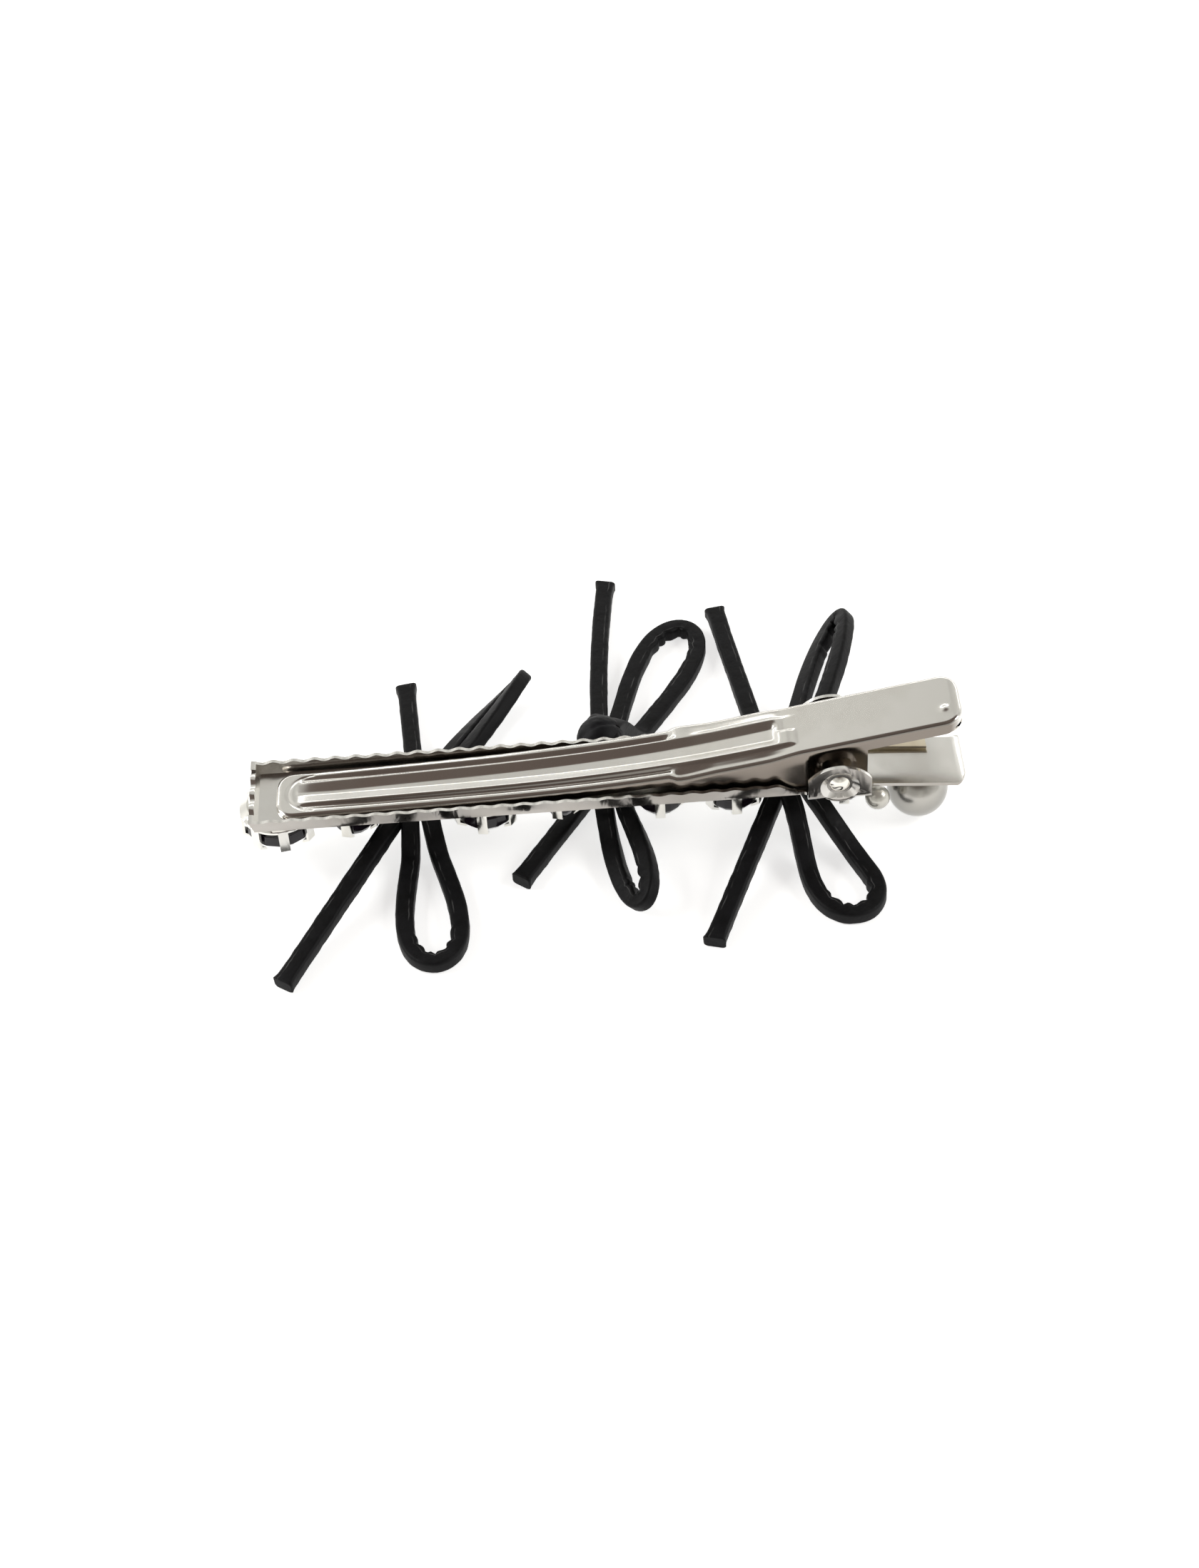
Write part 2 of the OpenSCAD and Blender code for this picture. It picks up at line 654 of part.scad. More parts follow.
// Stones in their claw settings: place along the clip, radius, number of claws, angle of the first claw,
// where 0 points to the near side
stones = [
    [pin_x - stone_1_back, stone_1_r, 8, 9],
    [pin_x - stone_2_back, stone_2_r, 4, -16],
    [pin_x - stone_3_back, stone_3_r, 6, -7],
    [pin_x - stone_4_back, stone_4_r, 4, -12],
    [pin_x - stone_5_back, stone_5_r, 4, -3],
    [pin_x - stone_6_back, stone_6_r, 6, 4],
    [pin_x + stone_7_on, stone_7_r, 4, -4]
];
// A setting sits flat under the base, and under the lowest part of the drooping handle that it reaches
function seat_z(s) = floor_z(s[0] + s[1] * 0.8) - sheet;

module at_stone(i) {
    translate([stones[i][0], 0, seat_z(stones[i])]) children();
}

cup_depth = 0.9;
module setting(i) {
    r = stones[i][1];
    count = stones[i][2];
    first = stones[i][3];
    back_r = r * 0.8;
    claw_end = stone_depth - 0.1;
    claw_fold = stone_depth * 0.8;
    claw_reach = min(0.9, r * 0.3);
    color(steel_colour) at_stone(i) {
        difference() {
            rotate_extrude() polygon([
                [0, 0], [back_r, 0], [r, -cup_depth * 0.7], [r, -cup_depth],
                [r - claw_t, -cup_depth], [r - claw_t, -cup_depth * 0.75], [back_r - claw_t, -claw_t], [0, -claw_t]
            ]);
        }
        for (k = [0 : count - 1]) rotate(270 + first + 360 * k / count) translate([0, claw_w / 2, 0])
            rotate([90, 0, 0]) linear_extrude(height = claw_w) polygon([
                [r - claw_t, -cup_depth * 0.8], [r, -cup_depth * 0.75], [r + 0.1, -claw_fold],
                [r - claw_reach, -claw_end], [r - claw_reach, -claw_end + claw_t],
                [r + 0.1 - claw_t, -claw_fold + claw_t / 2]
            ]);
    }
}

// A cut stone: shares of its radius and of its depth, ring by ring from the culet to the table
stone_gap = 0.05;
gem_shares = [[0.5, 0.16, 8, 0], [0.96, 0.45, 16, 0], [1, 0.72, 16, 0], [0.84, 0.88, 8, 0.5], [0.62, 1, 8, 0]];
module stone(i) {
    r = stones[i][1] - claw_t - stone_gap;
    shares = gem_shares;
    function gem_ring(s) =
        [for (k = [0 : 15]) let(j = s[2] == 8 ? floor(k / 2 + s[3] + 0.01) * 2 - s[3] * 2 + s[3] : k)
            [r * s[0] * cos(22.5 * k), r * s[0] * sin(22.5 * k), -stone_depth * s[1]]];
    color(stone_colour) at_stone(i) polyhedron(
        points = [for (s = reversed(shares)) each gem_ring(s)],
        faces = ring_faces(len(shares), 16)
    );
}

// Pearls

pearl_x = end_x - pearl_inset;
pearl_seat = 0.25;
pearl_z = floor_z(pearl_x) - sheet - pearl_seat - pearl_r;
table_z = pearl_z - pearl_r;
bead_x = pin_x + bead_on;
bead_y = -base_handle_w / 2;
bead_z = floor_z(bead_x + bead_r) - sheet - 0.25 - bead_r;

module pearl_large() {
    color(pearl_colour) translate([pearl_x, 0, pearl_z]) sphere(r = pearl_r, $fn = 96);
}

// A cap of sheet between the base and the large pearl, which follows the pearl's curve
module pearl_cap() {
    gap = 0.05;
    color(steel_colour) translate([pearl_x, 0, pearl_z]) rotate([0, droop, 0]) difference() {
        intersection() {
            sphere(r = pearl_r + gap + claw_t, $fn = 96);
            cylinder(r = cap_r, h = pearl_r + pearl_seat - 0.02);
        }
        sphere(r = pearl_r + gap, $fn = 96);
    }
}

module pearl_small() {
    color(pearl_colour) translate([bead_x, bead_y, bead_z]) sphere(r = bead_r, $fn = 64);
}

// Bows

// Places of the three knots
knot_gap = 0.3;
knot_1_at = [pin_x - knot_1_back, tray_w / 2 - 0.2, -sheet - knot_gap - knot_r];
knot_2_at = [pin_x - knot_2_back, tray_w / 2 + sheet + knot_2_r + knot_gap * 0.65, -1.4];
knot_3_at = [pin_x - knot_3_back, 1.5, -sheet - knot_gap - knot_r];
lie_z = table_z + strap_t / 2;
// Where a strand starts, inside the knot, and how far its middle is above or below the knot's there
root = 0.9;
loop_rise = 0.86;
loop_run = 7;
tail_rise = -0.86;
tail_run = 3.5;

// Point and heading on a flat arc that starts at the origin, after a length a of l
function arc_at(heading, curl, l, a) =
    let(h = heading + curl * a / l, k = l / (curl * PI / 180))
    curl == 0 ? [a * cos(heading), a * sin(heading), heading]
    : [k * (sin(h) - sin(heading)), k * (cos(heading) - cos(h)), h];

// Loop: two strands leave the knot side by side, part, and meet in a round end of radius r
loop_steps = 24;
bend_0 = 8;
bend_1 = 16;
// Distance from the knot of point i of a loop of length l
function loop_a(i, l, r) =
    i < bend_0 ? mix(root, l - r, i / bend_0)
    : i > bend_1 ? mix(root, l - r, (loop_steps - i) / bend_0)
    : l - r + r * sin(180 * (i - bend_0) / (bend_1 - bend_0));
// A loop lies flat at its knot, and its strands turn over to the angle roll further out
function roll_at(a, roll) = roll * blend((a - root) / loop_run);
function loop_points(at, heading, l, r, curl, roll, end_z, rise, run) = [
    for (i = [0 : loop_steps])
        let(
            a = loop_a(i, l, r),
            half = i < bend_0 || i > bend_1 ? strand_gap + (r - strand_gap) * blend((a - root) / (l - r - root)) : r,
            b = i < bend_0 ? half : i > bend_1 ? -half : r * cos(180 * (i - bend_0) / (bend_1 - bend_0)),
            q = arc_at(heading, curl, l, a),
            turned = roll_at(a, roll),
            side = b * cos(turned)
        )
        at + [
            q[0] - side * sin(q[2]), q[1] + side * cos(q[2]),
            rise + (end_z - at.z - rise) * blend((a - root) / run) + b * sin(turned)
        ]
];
function tail_points(at, heading, l, curl, rise, run) = [
    for (i = [0 : 9])
        let(a = mix(root, l, i / 9), q = arc_at(heading, curl, l, a))
        at + [q[0], q[1], rise + (lie_z - at.z - rise) * blend((a - root) / run)]
];

// Strap swept along points: eight sides, its broad side square to the direction up at each point
function strap_ring(p, i, up) =
    let(
        last = len(p) - 1,
        d = normalised(p[min(last, i + 1)] - p[max(0, i - 1)]),
        s = normalised(cross(d, up)),
        u = cross(s, d),
        grow = 1 / cos(22.5)
    )
    [for (k = [7 : -1 : 0]) let(a = 22.5 + 45 * k)
        p[i] + s * cos(a) * grow * strap_w / 2 + u * sin(a) * grow * strap_t / 2];

module strap(points, up) {
    polyhedron(
        points = [for (i = [0 : len(points) - 1]) each strap_ring(points, i, up[i])],
        faces = ring_faces(len(points), 8)
    );
}

module loop(at, heading, l, r, curl = 0, roll = 0, end_z = lie_z) {
    up = [for (i = [0 : loop_steps])
        let(turned = roll_at(loop_a(i, l, r), roll))
        [sin(turned) * sin(heading), -sin(turned) * cos(heading), cos(turned)]];
    strap(loop_points(at, heading, l, r, curl, roll, end_z, loop_rise, loop_run), up);
}

module tail(at, heading, l, curl = 0) {
    points = tail_points(at, heading, l, curl, tail_rise, tail_run);
    strap(points, [for (p = points) [0, 0, 1]]);
}

module bow_1() {
    color(strap_colour) {
        tail(knot_1_at, 94, bow_1_upper_tail_l);
        loop(knot_1_at, 57, bow_1_upper_loop_l, strand_gap, roll = -60, end_z = lie_z + strap_t);
        tail(knot_1_at, 233.2, bow_1_lower_tail_l, 12);
        loop(knot_1_at, 277.4, bow_1_lower_loop_l, 2.6, -6);
    }
}

module bow_2() {
    color(strap_colour) {
        tail(knot_2_at, 91.2, bow_2_upper_tail_l, -9);
        loop(knot_2_at, 65, bow_2_upper_loop_l, 3.1);
        tail(knot_2_at, 237.5, bow_2_lower_tail_l);
        loop(knot_2_at, 277, bow_2_lower_loop_l, 1.6, 4);
    }
}

module bow_3() {
    color(strap_colour) {
        tail(knot_3_at, 100, bow_3_upper_tail_l, -2);
        loop(knot_3_at, 71.5, bow_3_upper_loop_l, 1.45);
        tail(knot_3_at, 243, bow_3_lower_tail_l, 5);
        loop(knot_3_at, 298, bow_3_lower_loop_l, 2.9, -14);
    }
}

// The wrap round a bow's middle: a round barrel across the clip, which holds the roots of the strands
module knot(at, r) {
    length = r * 1.8;
    color(strap_colour) translate(at) rotate([90, 0, 0]) rotate_extrude() intersection() {
        circle(r = r);
        translate([0, -length / 2]) square([r, length]);
    }
}

base_jaw();
lever();
pivot_pin();
spring();
setting(0);  // setting_1
setting(1);  // setting_2
setting(2);  // setting_3
setting(3);  // setting_4
setting(4);  // setting_5
setting(5);  // setting_6
setting(6);  // setting_7
stone(0);  // stone_1
stone(1);  // stone_2
stone(2);  // stone_3
stone(3);  // stone_4
stone(4);  // stone_5
stone(5);  // stone_6
stone(6);  // stone_7
pearl_large();
pearl_cap();
pearl_small();
bow_1();
bow_2();
bow_3();
knot(knot_1_at, knot_r);  // knot_1
knot(knot_2_at, knot_2_r);  // knot_2
knot(knot_3_at, knot_r);  // knot_3
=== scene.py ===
# %% [markdown]
# A stamped alligator hair clip lies on a table with its decorated front down, so its lever is on top.
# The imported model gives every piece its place. This script keeps those places and adds the looks: softly
# bent sheet metal, faceted stones, pearls and leather straps.

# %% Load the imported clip
import json
import math

import bmesh
import bpy
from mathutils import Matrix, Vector, noise

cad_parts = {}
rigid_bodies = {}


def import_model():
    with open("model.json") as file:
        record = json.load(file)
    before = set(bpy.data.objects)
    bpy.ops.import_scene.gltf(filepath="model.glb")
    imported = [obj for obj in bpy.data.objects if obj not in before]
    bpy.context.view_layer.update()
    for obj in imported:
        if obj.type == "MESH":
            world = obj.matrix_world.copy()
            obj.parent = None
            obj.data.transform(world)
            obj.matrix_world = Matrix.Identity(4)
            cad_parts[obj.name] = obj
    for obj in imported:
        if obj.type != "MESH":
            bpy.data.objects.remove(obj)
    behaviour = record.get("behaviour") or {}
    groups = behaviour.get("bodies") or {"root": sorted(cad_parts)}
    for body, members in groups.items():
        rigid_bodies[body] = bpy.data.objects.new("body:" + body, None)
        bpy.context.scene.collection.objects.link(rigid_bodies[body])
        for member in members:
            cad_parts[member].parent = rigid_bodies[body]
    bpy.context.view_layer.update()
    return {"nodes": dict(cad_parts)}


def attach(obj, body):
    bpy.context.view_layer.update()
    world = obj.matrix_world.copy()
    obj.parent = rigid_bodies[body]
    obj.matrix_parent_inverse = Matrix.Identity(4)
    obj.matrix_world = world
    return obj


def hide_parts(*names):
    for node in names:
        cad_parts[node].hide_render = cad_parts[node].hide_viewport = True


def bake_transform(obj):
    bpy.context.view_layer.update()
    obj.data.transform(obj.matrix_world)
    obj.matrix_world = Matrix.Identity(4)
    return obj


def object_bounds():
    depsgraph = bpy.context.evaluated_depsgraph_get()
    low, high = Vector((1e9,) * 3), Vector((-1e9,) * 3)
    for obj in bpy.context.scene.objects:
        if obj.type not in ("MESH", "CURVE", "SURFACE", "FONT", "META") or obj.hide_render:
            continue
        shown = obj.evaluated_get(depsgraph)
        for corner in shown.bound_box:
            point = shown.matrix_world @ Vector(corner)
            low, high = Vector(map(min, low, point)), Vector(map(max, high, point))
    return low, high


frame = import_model()
MM = 0.001
print("loaded", len(frame["nodes"]), "nodes")

# %% [markdown]
# The photograph looks down at the clip at 45 degrees from 30 cm away, with the camera held a little
# askew. The lens and the place were fitted to the clip in the photograph. The camera turns about its own
# view axis first and then leans back, so its rotation mode is ZYX.

# %% Camera
PHOTO_WIDTH = 1680
FOCAL_PIXELS = 3990
SENSOR = 36
CAMERA_PLACE = (-0.851, -212.666, 211.598)
CAMERA_LEAN = 45
CAMERA_ASKEW = -3.95

camera_data = bpy.data.cameras.new("camera")
camera_data.sensor_fit = "HORIZONTAL"
camera_data.sensor_width = SENSOR
camera_data.lens = SENSOR * FOCAL_PIXELS / PHOTO_WIDTH
camera_data.clip_start = 0.01
camera = bpy.data.objects.new("camera", camera_data)
bpy.context.collection.objects.link(camera)
camera.rotation_mode = "ZYX"
camera.rotation_euler = (math.radians(CAMERA_LEAN), 0, math.radians(CAMERA_ASKEW))
camera.location = Vector(CAMERA_PLACE) * MM
bpy.context.scene.camera = camera
bpy.context.scene.view_settings.view_transform = "Standard"
print("lens", round(camera_data.lens, 1))

# %% [markdown]
# Every step below works on one object at a time, in edit mode or in object mode. Operators act on all
# that is selected, so each helper first deselects everything. A finished piece sits at the origin with
# its place in its mesh, rides on a body of the clip, and hides the piece of the imported model that it
# stands for.

# %% Helpers for every piece
MERGE_DISTANCE = 0.000001


def deselect_all():
    for obj in bpy.data.objects:
        obj.select_set(False)


def select_only(piece):
    deselect_all()
    piece.select_set(True)
    bpy.context.view_layer.objects.active = piece


def merge_in_edit_mode(piece, flat_angle):
    select_only(piece)
    bpy.ops.mesh.customdata_custom_splitnormals_clear()
    bpy.ops.object.mode_set(mode="EDIT")
    bpy.ops.mesh.select_all(action="SELECT")
    bpy.ops.mesh.remove_doubles(threshold=MERGE_DISTANCE)
    if flat_angle:
        bpy.ops.mesh.dissolve_limited(angle_limit=math.radians(flat_angle))
    else:
        bpy.ops.mesh.tris_convert_to_quads(face_threshold=math.radians(3), shape_threshold=math.radians(50))
    bpy.ops.object.mode_set(mode="OBJECT")


def apply_modifiers(piece):
    select_only(piece)
    for modifier in list(piece.modifiers):
        bpy.ops.object.modifier_apply(modifier=modifier.name)


def softened_copy(node, name, smooth_angle, flat_angle=0, edge_radius=0):
    piece = bpy.data.objects.new(name, bpy.data.objects[node].data.copy())
    bpy.context.collection.objects.link(piece)
    merge_in_edit_mode(piece, flat_angle)
    if edge_radius:
        rounding = piece.modifiers.new("rounding", "BEVEL")
        rounding.width = edge_radius * MM
        rounding.segments = 2
        rounding.limit_method = "ANGLE"
        rounding.angle_limit = math.radians(smooth_angle)
        apply_modifiers(piece)
    select_only(piece)
    bpy.ops.object.shade_smooth_by_angle(angle=math.radians(smooth_angle))
    return piece


def hand_over(piece, paint, body, slot, *nodes):
    piece.data.materials.clear()
    piece.data.materials.append(paint)
    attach(piece, body)
    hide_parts(*nodes)
    print(piece.name, "has", len(piece.data.polygons), "faces")


print("helpers ready, points merge within", MERGE_DISTANCE / MM, "mm")

# %% [markdown]
# The looks are built from shader nodes. The helpers below add the kinds that come up again and again: a
# calculation, a noise, a range and a mix of two colours. Each takes sockets or plain values and returns
# the socket that the next node reads.

# %% Helpers for shader nodes
def plug(tree, term, socket):
    if isinstance(term, (int, float, tuple)):
        socket.default_value = term
    else:
        tree.links.new(term, socket)


def add_math(tree, operation, *terms):
    node = tree.nodes.new("ShaderNodeMath")
    node.operation = operation
    for term, socket in zip(terms, node.inputs):
        plug(tree, term, socket)
    return node.outputs["Value"]


def add_noise(tree, vector, scale, detail, distortion=0):
    node = tree.nodes.new("ShaderNodeTexNoise")
    node.inputs["Scale"].default_value = scale
    node.inputs["Detail"].default_value = detail
    node.inputs["Distortion"].default_value = distortion
    plug(tree, vector, node.inputs["Vector"])
    return node.outputs["Fac"]


def add_range(tree, value, start=0, end=1, low=0, high=1):
    node = tree.nodes.new("ShaderNodeMapRange")
    plug(tree, value, node.inputs["Value"])
    plug(tree, start, node.inputs["From Min"])
    plug(tree, end, node.inputs["From Max"])
    plug(tree, low, node.inputs["To Min"])
    plug(tree, high, node.inputs["To Max"])
    return node.outputs["Result"]


def add_mix(tree, share, first, second, blend_type="MIX"):
    node = tree.nodes.new("ShaderNodeMix")
    node.data_type = "RGBA"
    node.blend_type = blend_type
    plug(tree, share, node.inputs["Factor"])
    plug(tree, first, node.inputs["A"])
    plug(tree, second, node.inputs["B"])
    return node.outputs["Result"]


print("node helpers", [helper.__name__ for helper in (add_math, add_noise, add_range, add_mix)])

# %% [markdown]
# The table is a plain white sheet. It is an ordinary diffuse surface, so the clip's soft shadow stays on
# it. To the camera and to reflections it also glows a little, which keeps it white without more light on
# the clip. The shader adds up the three kinds of ray that may see the glow.

# %% Table
TABLE_HALF = 0.6
TABLE_GLOW = 0.66

table_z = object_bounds()[0][2]
deselect_all()
bpy.ops.mesh.primitive_plane_add(size=2 * TABLE_HALF, location=(0, 0, table_z))
table = bpy.context.object
table.name = "table"
bpy.ops.object.transform_apply(location=True, rotation=True, scale=True)

table_paint = bpy.data.materials.new("table white")
table_paint.use_nodes = True
tree = table_paint.node_tree
table_surface = tree.nodes["Principled BSDF"]
table_surface.inputs["Base Color"].default_value = (0.80, 0.80, 0.79, 1)
table_surface.inputs["Roughness"].default_value = 0.9
table_surface.inputs["Specular IOR Level"].default_value = 0.1
table_surface.inputs["Emission Color"].default_value = (1, 1, 1, 1)
rays = tree.nodes.new("ShaderNodeLightPath")
seen = add_math(tree, "ADD", rays.outputs["Is Camera Ray"], rays.outputs["Is Glossy Ray"])
seen = add_math(tree, "ADD", seen, rays.outputs["Is Transmission Ray"])
glow = add_math(tree, "MULTIPLY", seen, TABLE_GLOW)
tree.links.new(glow, table_surface.inputs["Emission Strength"])
table.data.materials.append(table_paint)
print("table at", round(table_z / MM, 2), "mm")

# %% [markdown]
# Metal shows its surroundings, so the room matters more than the lamps. Flat sheet seen from 45 degrees
# mirrors the far wall, which is a warm pale grey, and whiter lower down. Every slope that leans towards
# the camera mirrors the ceiling, which is dark and brown, and the roundings between them catch a long
# strip light low on the far wall. The ceiling leans a little over the camera. A real room isn't even, so
# soft patches vary its strength, and large flats don't look painted.

# %% Lamps and room
def add_lamp(name, place, size_x, size_y, power):
    lamp_data = bpy.data.lights.new(name, "AREA")
    lamp_data.shape = "RECTANGLE"
    lamp_data.size = size_x
    lamp_data.size_y = size_y
    lamp_data.energy = power
    lamp = bpy.data.objects.new(name, lamp_data)
    bpy.context.collection.objects.link(lamp)
    lamp.location = place
    lamp.rotation_euler = (-Vector(place)).to_track_quat("-Z", "Y").to_euler()


add_lamp("left lamp", (-0.60, 0.10, 0.45), size_x=0.30, size_y=0.30, power=2.6)
add_lamp("right lamp", (0.60, -0.10, 0.45), size_x=0.30, size_y=0.30, power=2.0)
add_lamp("strip light", (0, 0.68, 0.40), size_x=1.50, size_y=0.05, power=0.75)

CEILING = (0.115, 0.090, 0.078, 1)
FAR_WALL = (0.70, 0.69, 0.655, 1)
LOW_WALL = (0.95, 0.94, 0.91, 1)
CEILING_LEAN = (0, -0.26, 0.966)
LOW_WALL_TOP = 0.18
FAR_WALL_FROM = 0.43
FAR_WALL_TO = 0.61
CEILING_FROM = 0.78
world = bpy.data.worlds.new("studio")
bpy.context.scene.world = world
world.use_nodes = True
tree = world.node_tree
background = tree.nodes["Background"]
coordinates = tree.nodes.new("ShaderNodeTexCoord")
toward_ceiling = tree.nodes.new("ShaderNodeVectorMath")
toward_ceiling.operation = "DOT_PRODUCT"
toward_ceiling.inputs[1].default_value = CEILING_LEAN
ceiling_edge = tree.nodes.new("ShaderNodeValToRGB")
ceiling_edge.color_ramp.elements[0].position = LOW_WALL_TOP
ceiling_edge.color_ramp.elements[0].color = LOW_WALL
ceiling_edge.color_ramp.elements[1].position = CEILING_FROM
ceiling_edge.color_ramp.elements[1].color = CEILING
for position in (FAR_WALL_FROM, FAR_WALL_TO):
    ceiling_edge.color_ramp.elements.new(position).color = FAR_WALL
uneven = add_noise(tree, coordinates.outputs["Generated"], scale=3.5, detail=2)
patches = add_range(tree, uneven, start=0.35, end=0.65, low=0.72, high=1.20)
tree.links.new(patches, background.inputs["Strength"])
tree.links.new(coordinates.outputs["Generated"], toward_ceiling.inputs[0])
tree.links.new(toward_ceiling.outputs["Value"], ceiling_edge.inputs["Fac"])
tree.links.new(ceiling_edge.outputs["Color"], background.inputs["Color"])
print("lamps", [lamp.name for lamp in bpy.data.lights])

# %% [markdown]
# Stamped and plated sheet isn't a perfect mirror. Rolling leaves a fine grain along it, and the plating
# dulls a little in soft clouds. All the clip's metal shares these marks, so they are one node group,
# which each metal uses with its own colours and strengths. The group also paints shade on the walls of
# the tray and of the lever: their colour is darker and browner than the flats, standing in for the shade
# and dark reflections they catch. The group finds the walls by the object's own normals, so the painted
# shade stays on them when the lever turns.

# %% Plating wear, shared by every metal
def add_input(group, name, kind, value):
    socket = group.interface.new_socket(name, in_out="INPUT", socket_type=kind)
    socket.default_value = value


def add_wall_mask(tree, place, start, full):
    outward = tree.nodes.new("ShaderNodeSeparateXYZ")
    tree.links.new(place.outputs["Normal"], outward.inputs["Vector"])
    sideways = add_math(tree, "ABSOLUTE", outward.outputs["Y"])
    return add_range(tree, sideways, start=start, end=full)


plating_wear = bpy.data.node_groups.new("plating wear", "ShaderNodeTree")
add_input(plating_wear, "Clean Color", "NodeSocketColor", (0.8, 0.78, 0.73, 1))
add_input(plating_wear, "Stained Color", "NodeSocketColor", (0.6, 0.55, 0.45, 1))
add_input(plating_wear, "Smooth Roughness", "NodeSocketFloat", 0.15)
add_input(plating_wear, "Rubbed Roughness", "NodeSocketFloat", 0.35)
add_input(plating_wear, "Grain", "NodeSocketFloat", 0.3)
add_input(plating_wear, "Painted Wall Shade", "NodeSocketFloat", 0.5)
plating_wear.interface.new_socket("Color", in_out="OUTPUT", socket_type="NodeSocketColor")
plating_wear.interface.new_socket("Roughness", in_out="OUTPUT", socket_type="NodeSocketFloat")
plating_wear.interface.new_socket("Height", in_out="OUTPUT", socket_type="NodeSocketFloat")
tree = plating_wear
given = tree.nodes.new("NodeGroupInput")
result = tree.nodes.new("NodeGroupOutput")
place = tree.nodes.new("ShaderNodeTexCoord")
along = tree.nodes.new("ShaderNodeMapping")
along.inputs["Scale"].default_value = (0.04, 1, 1)
tree.links.new(place.outputs["Object"], along.inputs["Vector"])
clouds = add_noise(tree, place.outputs["Object"], scale=170, detail=4)
cloud_mask = add_range(tree, clouds, start=0.42, end=0.72)
hair_lines = add_noise(tree, along.outputs["Vector"], scale=5200, detail=3)

stain = add_mix(tree, cloud_mask, given.outputs["Clean Color"], given.outputs["Stained Color"])
# Painted shade: the walls are mixed towards this dark brown, standing in for the shade and dark reflections
# they catch.
wall_mask = add_wall_mask(tree, place, start=0.62, full=0.95)
painted_shade_share = add_math(tree, "MULTIPLY", wall_mask, given.outputs["Painted Wall Shade"])
walls = add_mix(tree, painted_shade_share, stain, (0.17, 0.14, 0.115, 1))
tree.links.new(walls, result.inputs["Color"])

faint_lines = add_math(tree, "MULTIPLY", hair_lines, 0.15)
rubbed = add_math(tree, "MULTIPLY_ADD", cloud_mask, 0.8, faint_lines)
roughness = add_range(tree, rubbed, low=given.outputs["Smooth Roughness"],
                      high=given.outputs["Rubbed Roughness"])
tree.links.new(roughness, result.inputs["Roughness"])

grain_height = add_math(tree, "MULTIPLY", hair_lines, given.outputs["Grain"])
wear_height = add_math(tree, "MULTIPLY_ADD", clouds, 0.3, grain_height)
tree.links.new(wear_height, result.inputs["Height"])
print("group sockets", [item.name for item in plating_wear.interface.items_tree])

# %% [markdown]
# Five metals use the group. The lever has the least grain and the most painted shade on its walls, the
# base, the claws and the rivet show a little more wear, and the spring is a yellower, duller strip.

# %% Metals of the clip
def plated_metal(name, clean, stained, smooth, rubbed_most, grain, painted_wall_shade):
    paint = bpy.data.materials.new(name)
    paint.use_nodes = True
    tree = paint.node_tree
    surface = tree.nodes["Principled BSDF"]
    surface.inputs["Metallic"].default_value = 1
    wear = tree.nodes.new("ShaderNodeGroup")
    wear.node_tree = plating_wear
    wear.inputs["Clean Color"].default_value = (*clean, 1)
    wear.inputs["Stained Color"].default_value = (*stained, 1)
    wear.inputs["Smooth Roughness"].default_value = smooth
    wear.inputs["Rubbed Roughness"].default_value = rubbed_most
    wear.inputs["Grain"].default_value = grain
    wear.inputs["Painted Wall Shade"].default_value = painted_wall_shade
    bump = tree.nodes.new("ShaderNodeBump")
    bump.inputs["Strength"].default_value = 0.6
    bump.inputs["Distance"].default_value = 0.000005
    tree.links.new(wear.outputs["Color"], surface.inputs["Base Color"])
    tree.links.new(wear.outputs["Roughness"], surface.inputs["Roughness"])
    tree.links.new(wear.outputs["Height"], bump.inputs["Height"])
    tree.links.new(bump.outputs["Normal"], surface.inputs["Normal"])
    return paint


# The last argument of each metal sets how strongly painted shade darkens its walls.
lever_plate = plated_metal("lever plate", clean=(0.81, 0.795, 0.76), stained=(0.72, 0.70, 0.655),
                           smooth=0.14, rubbed_most=0.24, grain=0.05, painted_wall_shade=0.9)
base_plate = plated_metal("base plate", clean=(0.84, 0.83, 0.80), stained=(0.70, 0.68, 0.64),
                          smooth=0.12, rubbed_most=0.28, grain=0.1, painted_wall_shade=0.6)
claw_plate = plated_metal("claw plate", clean=(0.84, 0.83, 0.79), stained=(0.72, 0.70, 0.63),
                          smooth=0.14, rubbed_most=0.28, grain=0.1, painted_wall_shade=0.1)
rivet_plate = plated_metal("rivet plate", clean=(0.84, 0.82, 0.77), stained=(0.70, 0.66, 0.58),
                           smooth=0.10, rubbed_most=0.25, grain=0.1, painted_wall_shade=0)
spring_strip = plated_metal("spring strip", clean=(0.74, 0.68, 0.54), stained=(0.50, 0.42, 0.30),
                            smooth=0.25, rubbed_most=0.42, grain=0.4, painted_wall_shade=0.3)
metals = (lever_plate, base_plate, claw_plate, rivet_plate, spring_strip)
print("metals", [paint.name for paint in metals])

# %% [markdown]
# The scalloped walls of the tray are slightly crinkled where the sheet was drawn up. A second bump,
# limited to the walls by the object's own normals, adds to the wear of the base's metal alone.

# %% Crinkled walls of the tray
CRINKLES_TO_A_METRE = 620
tree = base_plate.node_tree
place = tree.nodes.new("ShaderNodeTexCoord")
squeezed = tree.nodes.new("ShaderNodeMapping")
squeezed.inputs["Scale"].default_value = (1, 0.35, 0.35)
tree.links.new(place.outputs["Object"], squeezed.inputs["Vector"])
crinkles = add_noise(tree, squeezed.outputs["Vector"], CRINKLES_TO_A_METRE, detail=2, distortion=0.6)
on_wall = add_wall_mask(tree, place, start=0.5, full=0.8)
wall_crinkles = add_math(tree, "MULTIPLY", crinkles, on_wall)
crinkle_bump = tree.nodes.new("ShaderNodeBump")
crinkle_bump.inputs["Distance"].default_value = 0.00007
tree.links.new(wall_crinkles, crinkle_bump.inputs["Height"])
tree.links.new(crinkle_bump.outputs["Normal"], tree.nodes["Bump"].inputs["Normal"])
print("crinkles", CRINKLES_TO_A_METRE, "to a metre")

